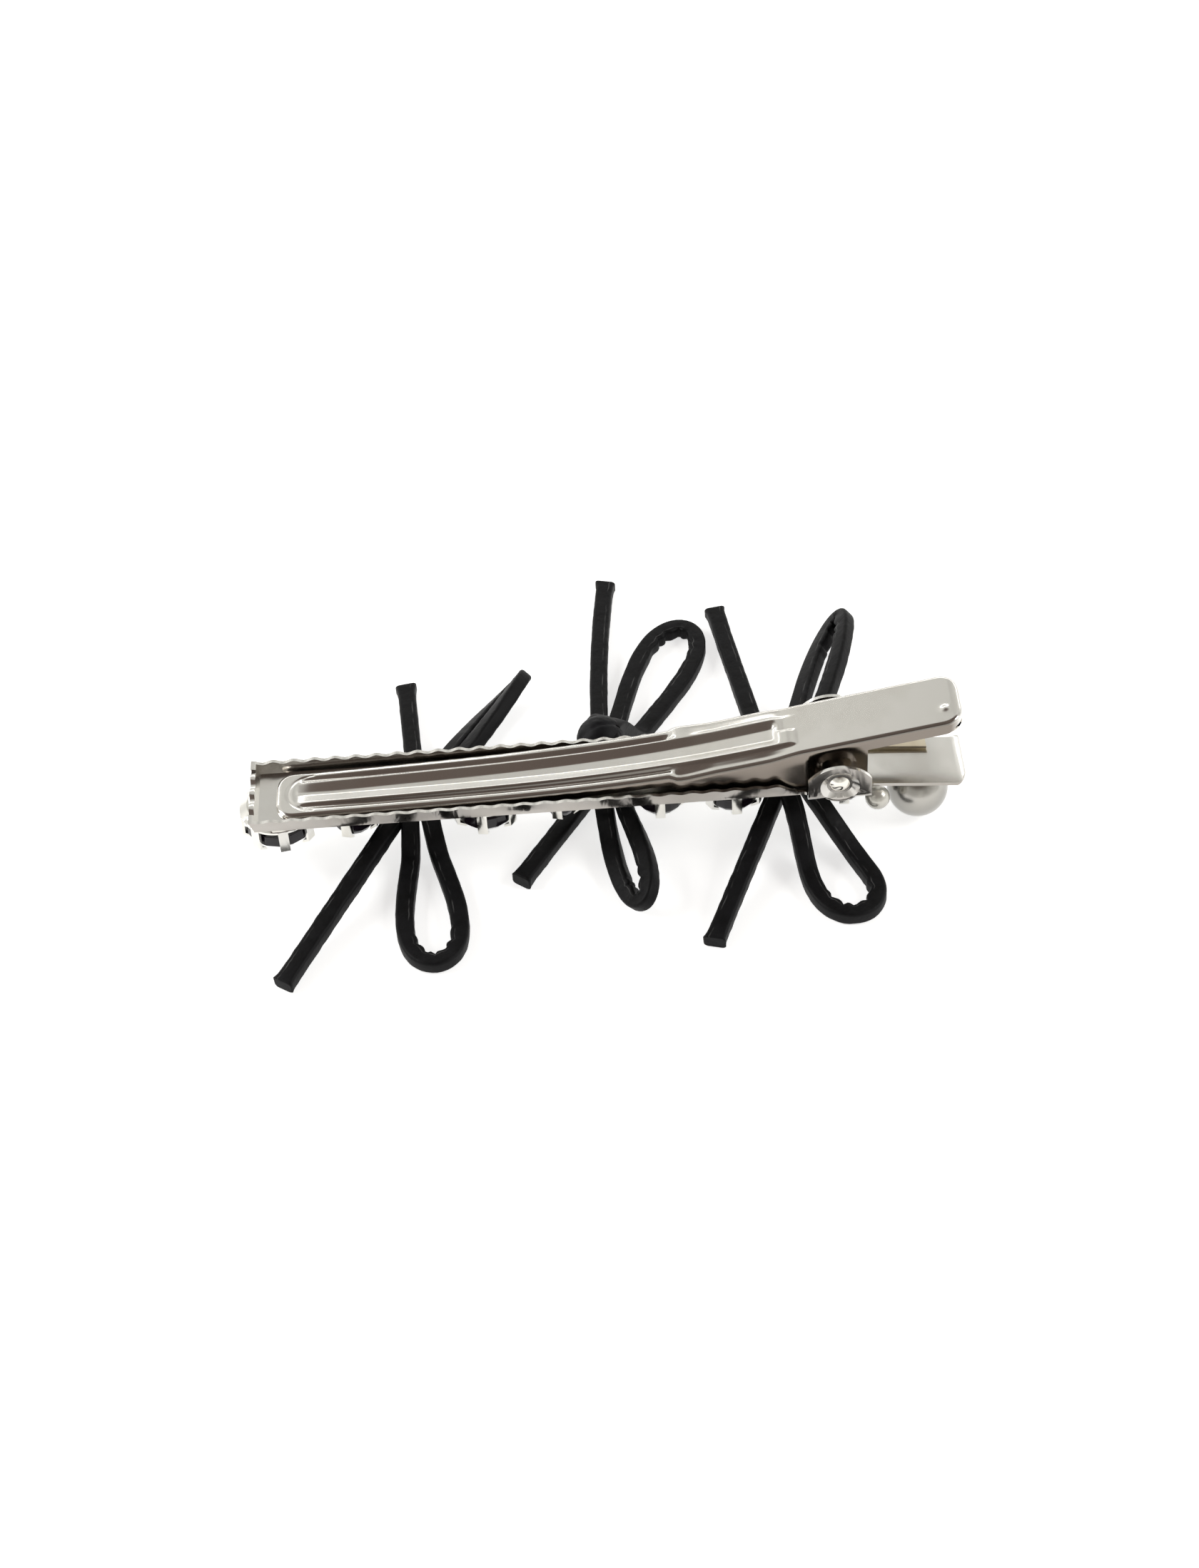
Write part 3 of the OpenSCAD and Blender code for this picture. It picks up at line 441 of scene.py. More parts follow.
# %% [markdown]
# The lever is one strip of sheet. A press gives it two long ridges with a groove between them, a valley
# on either side, turned-down edges and a turned-down end. A grid stands for the flat blank. Its points
# are moved to the height of the press tool, its border is extruded outwards and down into the flange,
# and Solidify then gives it the thickness of the sheet. The heights along the clip are those of the
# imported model. Only the far border stays level with its ridge beyond the step, as in the photograph, and
# the border at the end of the handle is 0.6 mm shorter, so that the handles can meet. All these lengths
# are in mm. A pair gives a value near the tip and its value near the pin.

# %% Shape of the press tool
SHEET = 0.4
PIN_X = 24
LEVER_X0 = -34.9
LEVER_X1 = 37
TONGUE_WIDE = 6.5
HANDLE_WIDE = 7.4
CORNER = 0.46
LOWEST = 0.43
TIP_HEIGHT = 0.5
TIP_SLOPE = 0.03
HEIGHT_OVER_PIN = 5.8
HANDLE_SLOPE = math.tan(math.radians(10.6))
BEND_X0 = LEVER_X0 + 14.93
BEND_X1 = 14.16
STEP_X = 6.3
STEP_DROP = 0.4
STEP_WIDER = 0.2
RIDGE_X0 = LEVER_X0 + 2.3
RIDGE_X1 = 19.4
FAR_RIDGE_X1 = 18.7
NEAR_RIDGE_X1 = 20.0
GROOVE_X1 = 18.2
VALLEY_X1 = 17.4
HIP_X = PIN_X - 3.05
TONGUE_BORDER = 1.1
HANDLE_BORDER = 1.5
END_BORDER_X = 35.4
END_BORDER_CUT = 0.6
BORDER_FOOT = 0.3
CREST = (1.5, 1.93)
RIDGE_RISE = (0.06, 0.22)
GROOVE_DEPTH = (0.32, 0.40)
GROOVE_HALF = (0.15, 0.85)
VALLEY_DEPTH = 0.36
FAR_FALL = 0.11
END_FALL = 0.48
DIMPLE_X = 35.2
DIMPLE_Y = -1.4
DIMPLE_RISE = 0.12
DIMPLE_RADIUS = 0.42
ARC_X = -30.9
ARC_RADIUS = 2.75
ARC_DEPTH = 0.06
ARC_WIDE = 0.13


def mix(a, b, share):
    share = min(max(share, 0), 1)
    return a + (b - a) * share


def ease(t):
    clamped = min(max(t, 0), 1)
    return clamped * clamped * (3 - 2 * clamped)


def rim_height(x):
    if x <= BEND_X0:
        return TIP_HEIGHT + (x - LEVER_X0) * TIP_SLOPE
    if x >= BEND_X1:
        return HEIGHT_OVER_PIN + (x - PIN_X) * HANDLE_SLOPE
    span = BEND_X1 - BEND_X0
    t = (x - BEND_X0) / span
    low_z = TIP_HEIGHT + (BEND_X0 - LEVER_X0) * TIP_SLOPE
    high_z = HEIGHT_OVER_PIN + (BEND_X1 - PIN_X) * HANDLE_SLOPE
    return ((2 * t**3 - 3 * t**2 + 1) * low_z + (t**3 - 2 * t**2 + t) * span * TIP_SLOPE
            + (3 * t**2 - 2 * t**3) * high_z + (t**3 - t**2) * span * HANDLE_SLOPE)


def step_share(x):
    return ease((x - STEP_X) / 1.2) * mix(1, 0.6, (x - STEP_X - 2) / 3) * ease((PIN_X - 3.6 - x) / 4)


def full_half_width(x):
    wide = mix(TONGUE_WIDE, HANDLE_WIDE, (x - LEVER_X0) / (BEND_X1 - LEVER_X0))
    return wide / 2 + STEP_WIDER * step_share(x)


def corner_pull(distance, radius):
    if distance >= radius:
        return 0
    return radius - math.sqrt(max(0, radius * radius - (radius - distance) * (radius - distance)))


def blank_half_width(x):
    at_tip = corner_pull(x - LEVER_X0 - CORNER, 1.9 - CORNER)
    at_end = corner_pull(LEVER_X1 - CORNER - x, 2.1 - CORNER)
    return full_half_width(x) - CORNER - (at_tip + at_end)


def edge_height(x):
    return rim_height(x) - STEP_DROP * step_share(x)


def profile(x, y):
    ridge_end = FAR_RIDGE_X1 if y > 0 else NEAR_RIDGE_X1
    ridge = ease((x - RIDGE_X0) / 1.3) * ease((ridge_end - x) / 1.1)
    groove = ease((x - RIDGE_X0 + 0.5) / 1.3) * ease((GROOVE_X1 - x) / 0.8)
    share = (x - RIDGE_X0) / (RIDGE_X1 - RIDGE_X0)
    full = full_half_width(x)
    crest = mix(*CREST, share * 1.1)
    edge = edge_height(x)
    top = rim_height(x) + mix(*RIDGE_RISE, share * 1.15) * ridge
    if y > 0:
        edge = mix(edge, top, step_share(x))
    bottom = min(top, max(LOWEST, top - mix(*GROOVE_DEPTH, share * 1.4) * groove))
    valley_share = ridge * (1 - step_share(x)) * ease((VALLEY_X1 - x) / 8)
    valley = min(edge, max(LOWEST, edge - VALLEY_DEPTH * valley_share))
    far_fall = FAR_FALL * ridge * ease((-5 - x) / 8) if y > 0 else 0
    beside = mix(valley, mix(top, edge, 0.35), step_share(x))
    # Half of the section, from the groove in the middle over the ridge and its valley to the border.
    points = ((0, bottom), (mix(*GROOVE_HALF, share), bottom), (crest - 0.12, top), (crest + 0.06, top),
              (crest + 0.40, beside), (full - 0.80, edge), (full, edge - far_fall))
    across = abs(y)
    for (y0, z0), (y1, z1) in zip(points, points[1:]):
        if across <= y1:
            return mix(z0, z1, (across - y0) / max(y1 - y0, 1e-6))
    return edge


def pressed_height(x, y):
    height = 0
    for offset, weight in ((-0.16, 1), (-0.08, 2), (0, 3), (0.08, 2), (0.16, 1)):
        height += profile(x, y + offset) * weight / 9
    from_dimple = math.hypot(x - DIMPLE_X, y - DIMPLE_Y)
    height += DIMPLE_RISE * math.exp(-((from_dimple / DIMPLE_RADIUS) ** 2))
    if x < ARC_X:
        from_arc = math.hypot(x - ARC_X, y * 1.08) - ARC_RADIUS
        height -= ARC_DEPTH * math.exp(-((from_arc / ARC_WIDE) ** 2))
    return height - END_FALL * ease((x - LEVER_X1 + 1.05) / 2.1)


def flange_foot(x):
    if x > HIP_X:
        return rim_height(x) - HANDLE_BORDER + END_BORDER_CUT * ease((x - END_BORDER_X) / 1.2)
    along_tongue = edge_height(x) - TONGUE_BORDER
    deep = max(BORDER_FOOT, mix(along_tongue, BORDER_FOOT, ease((x - 6) / 3.5)))
    return min(edge_height(x) - CORNER - 0.02, deep)


rim_heights = [round(rim_height(x), 2) for x in (LEVER_X0, 0, PIN_X)]
print("rim height at the tip, the middle and the pin", rim_heights)

# %% [markdown]
# The stations of the blank stand closer together at the tip, before the hip and at the end, where the
# sheet changes most. At the hip two of them lie 0.02 mm apart, because the border's depth jumps there.

# %% Press the blank
HIP_GAP = 0.02
END_X = 34.2
ROWS = 96
stations = [LEVER_X0 + CORNER + 0.15 * i for i in range(28)]
stations += [mix(stations[-1], VALLEY_X1, i / 122) for i in range(1, 123)]
stations += [mix(VALLEY_X1, HIP_X, i / 18) for i in range(1, 19)]
stations += [HIP_X + HIP_GAP]
stations += [mix(HIP_X + HIP_GAP, END_X, i / 36) for i in range(1, 37)]
stations += [mix(END_X, LEVER_X1 - CORNER, i / 20) for i in range(1, 21)]
deselect_all()
bpy.ops.mesh.primitive_grid_add(x_subdivisions=len(stations) - 1, y_subdivisions=ROWS, size=1)
lever_sheet = bpy.context.object
lever_sheet.name = "lever_sheet"
for vertex in lever_sheet.data.vertices:
    x = stations[round((vertex.co.x + 0.5) * (len(stations) - 1))]
    y = 2 * vertex.co.y * blank_half_width(x)
    vertex.co = Vector((x, y, pressed_height(x, y))) * MM
print("blank", len(lever_sheet.data.vertices), "points")

# %% [markdown]
# The open border is extruded step by step. Four steps turn it through a quarter of a circle, and three
# more carry it straight down to its foot. Each new point remembers which point of the blank it came from
# and moves along that point's outward direction.

# %% Turn the border down
def border_normals(piece):
    shaped = bmesh.new()
    shaped.from_mesh(piece.data)
    found = {}
    for vertex in shaped.verts:
        edges = [edge for edge in vertex.link_edges if edge.is_boundary]
        if not edges:
            continue
        outward = Vector((0, 0, 0))
        for edge in edges:
            inside = edge.link_faces[0].calc_center_median()
            middle = (edge.verts[0].co + edge.verts[1].co) / 2
            along = (edge.verts[1].co - edge.verts[0].co).normalized()
            away = middle - inside
            away.z = 0
            flat_along = Vector((along.x, along.y, 0)).normalized()
            outward += (away - flat_along * away.dot(flat_along)).normalized()
        found[vertex.index] = outward.normalized()
    shaped.free()
    return found


def lever_border_place(start, outward, turn, down_share):
    x = start.x / MM
    foot = flange_foot(x + outward.x * CORNER)
    z = start.z / MM - CORNER * (1 - math.cos(turn))
    z = mix(z, min(foot, z - 0.02), down_share)
    reach = CORNER * math.sin(turn)
    return Vector((start.x + outward.x * reach * MM, start.y + outward.y * reach * MM, z * MM))


def turn_border_down(piece, place_for, turns, drops):
    normals = border_normals(piece)
    starts = {index: piece.data.vertices[index].co.copy() for index in normals}
    source = {index: index for index in normals}
    steps = [(math.radians(90) * k / turns, 0) for k in range(1, turns + 1)]
    steps += [(math.radians(90), k / drops) for k in range(1, drops + 1)]
    for turn, down_share in steps:
        select_only(piece)
        keys = {}
        for index, origin in source.items():
            keys[tuple(round(c, 8) for c in piece.data.vertices[index].co)] = origin
        for edge in piece.data.edges:
            edge.select = False
        for face in piece.data.polygons:
            face.select = False
        for vertex in piece.data.vertices:
            vertex.select = vertex.index in source
        border = set(source)
        counts = {}
        for face in piece.data.polygons:
            for key in face.edge_keys:
                counts[key] = counts.get(key, 0) + 1
        for edge in piece.data.edges:
            edge.select = counts.get(tuple(sorted(edge.vertices)), 0) == 1 and set(edge.vertices) <= border
        bpy.ops.object.mode_set(mode="EDIT")
        bpy.ops.mesh.select_mode(type="EDGE")
        bpy.ops.mesh.extrude_edges_move()
        bpy.ops.object.mode_set(mode="OBJECT")
        source = {}
        for vertex in piece.data.vertices:
            if vertex.select:
                origin = keys[tuple(round(c, 8) for c in vertex.co)]
                source[vertex.index] = origin
                vertex.co = place_for(starts[origin], normals[origin], turn, down_share)


turn_border_down(lever_sheet, lever_border_place, turns=4, drops=3)
wall = lever_sheet.modifiers.new("wall", "SOLIDIFY")
wall.thickness = SHEET * MM
wall.offset = -1
apply_modifiers(lever_sheet)
print("lever sheet", len(lever_sheet.data.polygons), "faces")

# %% [markdown]
# The two cheeks that carry the pin hang below the flanges, with a round recess pressed into each. They
# are flat plates with a bore, exactly as packed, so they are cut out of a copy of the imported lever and
# joined on.

# %% Cheeks round the pin
CHEEK_TOP_OVER_PIN = 4.32


def keep_side(piece, point, normal):
    select_only(piece)
    bpy.ops.object.mode_set(mode="EDIT")
    bpy.ops.mesh.select_all(action="SELECT")
    bpy.ops.mesh.bisect(plane_co=Vector(point) * MM, plane_no=normal, use_fill=True,
                        clear_inner=False, clear_outer=True)
    bpy.ops.object.mode_set(mode="OBJECT")


cheeks = softened_copy("lever", "cheeks", smooth_angle=35)
keep_side(cheeks, (HIP_X + 0.01, 0, 0), (-1, 0, 0))
keep_side(cheeks, (PIN_X, 0, CHEEK_TOP_OVER_PIN), (-HANDLE_SLOPE, 0, 1))
deselect_all()
cheeks.select_set(True)
lever_sheet.select_set(True)
bpy.context.view_layer.objects.active = lever_sheet
bpy.ops.object.join()
select_only(lever_sheet)
bpy.ops.object.shade_smooth_by_angle(angle=math.radians(40))
hand_over(lever_sheet, lever_plate, "lever", "plated_steel", "lever")
print("cheeks start at", round(HIP_X, 2), "mm")

# %% [markdown]
# The base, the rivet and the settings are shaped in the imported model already. A copy of each is merged,
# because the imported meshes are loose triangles, and shaded smooth across its shallow folds, so it
# mirrors like pressed sheet and not like a folded paper model. The end of the base's handle curls up
# into a small lip.

# %% Base and rivet
END_LIP_X = 36.7
END_LIP_RISE = 0.4
END_LIP_RUN = 0.8
base_sheet = softened_copy("base_jaw", "base_sheet", smooth_angle=35)
for vertex in base_sheet.data.vertices:
    vertex.co.z += END_LIP_RISE * ease((vertex.co.x / MM - END_LIP_X) / END_LIP_RUN) * MM
hand_over(base_sheet, base_plate, "clip", "plated_steel", "base_jaw")
rivet = softened_copy("pivot_pin", "rivet", smooth_angle=40)
hand_over(rivet, rivet_plate, "clip", "plated_steel", "pivot_pin")
print("lip at the base's end", END_LIP_RISE, "mm high")

# %% [markdown]
# The spring is a merged copy of the imported spring, shaded smooth, with its place baked into its mesh.

# %% Spring
spring_band = softened_copy("spring", "spring_band", smooth_angle=40)
spring_band.data.materials.clear()
spring_band.data.materials.append(spring_strip)
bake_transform(spring_band)
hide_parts("spring")
print("spring band", len(spring_band.data.polygons), "faces")

# %% [markdown]
# A claw setting is cut from thin plate and pressed over the stone, so its edges are slightly rounded.
# The stones are dark glass with polished facets, whose edges are worn by a hair's breadth and glint.

# %% Stone material
stone_glass = bpy.data.materials.new("black glass stone")
stone_glass.use_nodes = True
tree = stone_glass.node_tree
surface = tree.nodes["Principled BSDF"]
surface.inputs["Coat Weight"].default_value = 0.15
surface.inputs["Coat Roughness"].default_value = 0.04
surface.inputs["Specular IOR Level"].default_value = 0.35
place = tree.nodes.new("ShaderNodeTexCoord")
depth = add_noise(tree, place.outputs["Object"], scale=260, detail=3)
tint = tree.nodes.new("ShaderNodeValToRGB")
tint.color_ramp.elements[0].color = (0.002, 0.002, 0.003, 1)
tint.color_ramp.elements[1].color = (0.016, 0.010, 0.018, 1)
tree.links.new(depth, tint.inputs["Fac"])
tree.links.new(tint.outputs["Color"], surface.inputs["Base Color"])
polish = add_range(tree, depth, low=0.05, high=0.14)
tree.links.new(polish, surface.inputs["Roughness"])
print("stone material", stone_glass.name)

# %% [markdown]
# Seven settings hold stones of different sizes in a row from the tip to the pin, with the largest at the
# tip. A fine bevel rounds their edges.

# %% Settings and stones
STONE_COUNT = 7
for number in range(1, STONE_COUNT + 1):
    claws = softened_copy(f"setting_{number}", f"claws_{number}", smooth_angle=30,
                          flat_angle=0.5, edge_radius=0.04)
    hand_over(claws, claw_plate, "clip", "plated_steel", f"setting_{number}")
    gem = softened_copy(f"stone_{number}", f"gem_{number}", smooth_angle=12,
                        flat_angle=0.5, edge_radius=0.05)
    hand_over(gem, stone_glass, "clip", "black_stone", f"stone_{number}")
print("settings and stones", STONE_COUNT, "of each")

# %% [markdown]
# The pearls are glass beads dipped in a metallic lacquer: a silvery body, a clear coat, and painted
# shade, a colour that gets darker towards the silhouette where the surface turns from the camera, which a
# Layer Weight node gives.

# %% Pearls
def pearl_material(name, middle, rim_shade_color, metallic):
    paint = bpy.data.materials.new(name)
    paint.use_nodes = True
    tree = paint.node_tree
    surface = tree.nodes["Principled BSDF"]
    surface.inputs["Metallic"].default_value = metallic
    surface.inputs["Coat Weight"].default_value = 0.5
    surface.inputs["Coat Roughness"].default_value = 0.08
    place = tree.nodes.new("ShaderNodeTexCoord")
    lustre = add_noise(tree, place.outputs["Object"], scale=420, detail=3)
    facing = tree.nodes.new("ShaderNodeLayerWeight")
    facing.inputs["Blend"].default_value = 0.4
    # Painted shade: the base colour darkens where the surface turns away from the camera.
    painted_rim_shade = add_mix(tree, facing.outputs["Facing"], (*middle, 1), (*rim_shade_color, 1))
    shade = add_range(tree, lustre, low=0.85, high=1.1)
    tone = add_mix(tree, 1, painted_rim_shade, shade, blend_type="MULTIPLY")
    satin = add_range(tree, lustre, low=0.16, high=0.30)
    tree.links.new(tone, surface.inputs["Base Color"])
    tree.links.new(satin, surface.inputs["Roughness"])
    return paint


grey_pearl = pearl_material("grey pearl", middle=(0.46, 0.445, 0.41), rim_shade_color=(0.26, 0.255, 0.24), metallic=0.9)
cream_pearl = pearl_material("cream pearl", middle=(0.66, 0.64, 0.58), rim_shade_color=(0.50, 0.49, 0.45),
                             metallic=0.45)
large_bead = softened_copy("pearl_large", "large_bead", smooth_angle=60)
hand_over(large_bead, grey_pearl, "clip", "pearl", "pearl_large")
bead_cup = softened_copy("pearl_cap", "bead_cup", smooth_angle=40)
hand_over(bead_cup, claw_plate, "clip", "plated_steel", "pearl_cap")
small_bead = softened_copy("pearl_small", "small_bead", smooth_angle=60)
hand_over(small_bead, cream_pearl, "clip", "pearl", "pearl_small")
print("pearls", large_bead.name, "in", bead_cup.name, "and", small_bead.name)

# %% [markdown]
# The bows are tied from a narrow folded strap of dark imitation leather. Each strap has a flat section
# with rounded corners, follows its own route from the knot, crinkles on the inside of its bends and ends
# in a cut that flares a little. Extrude and bend can't turn a section as it goes, so each strap is swept
# in code: the section is set across the route at each step. The routes are a little straighter and
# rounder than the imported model's. A route is a row of places, each with the direction of the strap's
# flat side and a number that says how sharply the strap bends there. Tails leave the knot under its
# middle and loops above it.

# %% Routes of the straps
STRAP_WIDE = 1.95
STRAP_THICK = 1.6
ROOT = 0.9
STRAND_GAP = 0.96
STRAND_LIFT = 0.86
TAIL_STEPS = 24
LOOP_STEPS = 72
LONG_RUN = 8
LOOP_FULLNESS = 1.58
FULLNESS_POWER = 2.2
CRINKLES_FROM = 0.72
LIE_Z = table_z / MM + STRAP_THICK / 2
ON_STRAP_Z = LIE_Z + STRAP_THICK
ROLLED_Z = LIE_Z + 1.3


def on_arc(heading, curl, length, a):
    if curl == 0:
        turn = math.radians(heading)
        return a * math.cos(turn), a * math.sin(turn), turn
    reach = length / math.radians(curl)
    start = math.radians(heading)
    turn = math.radians(heading + curl * a / length)
    return reach * (math.sin(turn) - math.sin(start)), reach * (math.cos(start) - math.cos(turn)), turn


def tail_route(at, heading, length, curl=0, run=3.5):
    route = []
    for i in range(TAIL_STEPS + 1):
        a = mix(ROOT, length, i / TAIL_STEPS)
        x, y, turn = on_arc(heading, curl, length, a)
        drop = ease((a - ROOT) / run) if run < LONG_RUN else min(1, (a - ROOT) / run)
        lift = -STRAND_LIFT + (LIE_Z - at[2] + STRAND_LIFT) * drop
        route.append((Vector((at[0] + x, at[1] + y, at[2] + lift)), Vector((0, 0, 1)), 0))
    return route


def loop_route(at, heading, length, end_radius, curl=0, roll=0, end_z=LIE_Z, run=7):
    route = []
    for i in range(LOOP_STEPS + 1):
        phase = 2 * math.pi * i / LOOP_STEPS
        share = (1 - math.cos(phase)) / 2
        a = ROOT + (length - ROOT) * share
        side_sign = 1 if i <= LOOP_STEPS / 2 else -1
        fullness = abs(math.sin(phase)) * abs(math.sin(phase / 2)) ** FULLNESS_POWER
        across = side_sign * (end_radius * LOOP_FULLNESS * fullness
                              + STRAND_GAP * (1 - share) ** 2)
        bent = ease((share - CRINKLES_FROM) / 0.2)
        x, y, turn = on_arc(heading, curl, length, a)
        turned = math.radians(roll) * (a - ROOT) / (length - ROOT)
        side = across * math.cos(turned)
        drop = ease((a - ROOT) / run)
        lift = STRAND_LIFT + (end_z - at[2] - STRAND_LIFT) * drop + across * math.sin(turned)
        spot = Vector((at[0] + x - side * math.sin(turn), at[1] + y + side * math.cos(turn), at[2] + lift))
        up = Vector((math.sin(turned) * math.sin(turn), -math.sin(turned) * math.cos(turn),
                     math.cos(turned)))
        route.append((spot, up, bent))
    return route


print("straps rest at", round(LIE_Z, 2), "mm")

# %% [markdown]
# The route is cut into even steps first. At each step the section may be wider, pinched by a crinkle on
# the inside of a bend, or rippled. Where the strap is cut it flares and slants, and a smaller ring
# closes it.

# %% Sweep one strap
SECTION_CORNER = 0.36
SECTION_TURNS = 4
RING_SPACING = 0.32
WANDER = 0.035
CRINKLE_SPACING = 1.8
CRINKLE_DEPTH = 0.46
END_FLARE = 0.22
FLARE_RUN = 0.6
END_SLANT = 0.16
SLANT_RUN = 0.5
CLOSING_STEP = 0.10
CLOSING_SIZE = 0.86


def strap_section():
    points = []
    for corner, (side, up) in enumerate(((1, 1), (-1, 1), (-1, -1), (1, -1))):
        for k in range(SECTION_TURNS + 1):
            angle = math.radians(90 * corner + 90 * k / SECTION_TURNS)
            s = side * (STRAP_WIDE / 2 - SECTION_CORNER) + SECTION_CORNER * math.cos(angle)
            u = up * (STRAP_THICK / 2 - SECTION_CORNER) + SECTION_CORNER * math.sin(angle)
            points.append((s, u))
    return points


def even_steps(route, spacing):
    dense = []
    for i in range(len(route) - 1):
        before = route[max(i - 1, 0)][0]
        start, up_start, bent_start = route[i]
        end, up_end, bent_end = route[i + 1]
        after = route[min(i + 2, len(route) - 1)][0]
        count = max(1, round((end - start).length / spacing))
        for k in range(count):
            t = k / count
            spot = 0.5 * (2 * start + (end - before) * t
                          + (2 * before - 5 * start + 4 * end - after) * t * t
                          + (3 * start - before - 3 * end + after) * t * t * t)
            dense.append((spot, up_start.lerp(up_end, t), mix(bent_start, bent_end, t)))
    dense.append(route[-1])
    return dense


def notch(distance, seed):
    cell = distance / CRINKLE_SPACING + 0.6 * noise.noise(Vector((distance * 0.4, seed, 0)))
    tooth = abs((cell % 1) - 0.5) * 2
    return (1 - tooth) ** 2


def sweep_strap(mesh, uv_layer, route, seed, cut_end):
    steps = even_steps(route, RING_SPACING)
    section = strap_section()
    distance = 0
    rings = []
    stations = []
    for i, (spot, up, bent) in enumerate(steps):
        ahead = steps[min(i + 1, len(steps) - 1)][0] - steps[max(i - 1, 0)][0]
        ahead.normalize()
        across = ahead.cross(up).normalized()
        top = across.cross(ahead).normalized()
        if i:
            distance += (spot - steps[i - 1][0]).length
        stations.append((spot, ahead, across, top, bent, distance))
    total = distance
    if cut_end:
        spot, ahead, across, top, bent, distance = stations[-1]
        beyond = spot + ahead * CLOSING_STEP
        stations.append((beyond, ahead, across, top, bent, distance + CLOSING_STEP))
    for index, (spot, ahead, across, top, bent, distance) in enumerate(stations):
        to_end = total - distance
        flare = 1 + END_FLARE * math.exp(-max(to_end, 0) / FLARE_RUN) * cut_end
        shrink = CLOSING_SIZE if cut_end and index == len(stations) - 1 else 1
        wide = flare * shrink * (1 + WANDER * noise.noise(Vector((distance * 0.35, seed, 1))))
        crumple = bent * notch(distance, seed)
        ring = []
        for s, u in section:
            inner = max(0, s / (STRAP_WIDE / 2))
            push_s = s * wide - inner * crumple * CRINKLE_DEPTH
            push_u = u * (1 - 0.10 * crumple * inner) * shrink
            ripple = WANDER * noise.noise(Vector((distance * 1.3, s * 1.2, seed + u)))
            slant = END_SLANT * s * math.sin(seed * 7) * cut_end * math.exp(-max(to_end, 0) / SLANT_RUN)
            place = spot + across * (push_s + ripple) + top * (push_u + ripple) + ahead * slant
            ring.append(mesh.verts.new(place * MM))
        rings.append((ring, distance))
    count = len(section)
    for (ring, here), (next_ring, there) in zip(rings, rings[1:]):
        for k in range(count):
            j = (k + 1) % count
            face = mesh.faces.new((ring[k], ring[j], next_ring[j], next_ring[k]))
            around = [k / count, (k + 1) / count, (k + 1) / count, k / count]
            length = [here, here, there, there]
            for corner, loop in enumerate(face.loops):
                loop[uv_layer].uv = (length[corner] / 10, around[corner])
            face.smooth = True
    start_cap = mesh.faces.new(list(reversed(rings[0][0])))
    end_cap = mesh.faces.new(rings[-1][0])
    for cap in (start_cap, end_cap):
        for loop in cap.loops:
            loop[uv_layer].uv = (0, 0.3)
    return total


print("section points", len(strap_section()))

# %% [markdown]
# The straps have a fine pressed grain over soft folds. Both read Object coordinates, and the folds also
# say where the leather is worn.

# %% Leather grain, shared by straps and knots
leather_grain = bpy.data.node_groups.new("leather grain", "ShaderNodeTree")
add_input(leather_grain, "Cell Scale", "NodeSocketFloat", 2400)
leather_grain.interface.new_socket("Height", in_out="OUTPUT", socket_type="NodeSocketFloat")
leather_grain.interface.new_socket("Tone", in_out="OUTPUT", socket_type="NodeSocketFloat")
tree = leather_grain
given = tree.nodes.new("NodeGroupInput")
result = tree.nodes.new("NodeGroupOutput")
place = tree.nodes.new("ShaderNodeTexCoord")
cells = tree.nodes.new("ShaderNodeTexVoronoi")
cells.feature = "SMOOTH_F1"
tree.links.new(place.outputs["Object"], cells.inputs["Vector"])
tree.links.new(given.outputs["Cell Scale"], cells.inputs["Scale"])
folds = add_noise(tree, place.outputs["Object"], scale=480, detail=5)
relief = add_math(tree, "MULTIPLY_ADD", cells.outputs["Distance"], 0.35, folds)
tree.links.new(relief, result.inputs["Height"])
tree.links.new(folds, result.inputs["Tone"])
print("leather grain sockets", len(leather_grain.interface.items_tree))

# %% [markdown]
# The leather is nearly black, and charcoal where it is worn. The straps have a thin, broken, paler line
# of glue along one fold. The line follows the strap, so it reads the strap's own UV map, which runs
# along the strap in U and round its section in V. The knots have no such line and are a shade paler.

# %% Strap materials
def add_glue_line(tree):
    strap_map = tree.nodes.new("ShaderNodeUVMap")
    strap_map.uv_map = "strap"
    split = tree.nodes.new("ShaderNodeSeparateXYZ")
    tree.links.new(strap_map.outputs["UV"], split.inputs["Vector"])
    along_only = tree.nodes.new("ShaderNodeCombineXYZ")
    tree.links.new(split.outputs["X"], along_only.inputs["X"])
    wander = add_noise(tree, along_only.outputs["Vector"], scale=6, detail=3)
    line_place = add_range(tree, wander, low=0.198, high=0.214)
    away = add_math(tree, "SUBTRACT", split.outputs["Y"], line_place)
    from_line = add_math(tree, "ABSOLUTE", away)
    on_line = add_range(tree, from_line, start=0.0032, end=0.0012)
    broken = add_noise(tree, along_only.outputs["Vector"], scale=3.5, detail=2)
    unbroken = add_range(tree, broken, start=0.46, end=0.58)
    return add_math(tree, "MULTIPLY", on_line, unbroken)


def leather(name, dark_color, worn_color, with_line):
    paint = bpy.data.materials.new(name)
    paint.use_nodes = True
    tree = paint.node_tree
    surface = tree.nodes["Principled BSDF"]
    surface.inputs["Specular IOR Level"].default_value = 0.16
    grain = tree.nodes.new("ShaderNodeGroup")
    grain.node_tree = leather_grain
    bump = tree.nodes.new("ShaderNodeBump")
    bump.inputs["Strength"].default_value = 0.55
    bump.inputs["Distance"].default_value = 0.00012
    tree.links.new(grain.outputs["Height"], bump.inputs["Height"])
    tree.links.new(bump.outputs["Normal"], surface.inputs["Normal"])
    worn = add_range(tree, grain.outputs["Tone"], start=0.35, end=0.70)
    color = add_mix(tree, worn, (*dark_color, 1), (*worn_color, 1))
    if with_line:
        color = add_mix(tree, add_glue_line(tree), color, (0.06, 0.06, 0.06, 1))
    tree.links.new(color, surface.inputs["Base Color"])
    sheen = add_range(tree, grain.outputs["Tone"], low=0.42, high=0.68)
    tree.links.new(sheen, surface.inputs["Roughness"])
    return paint


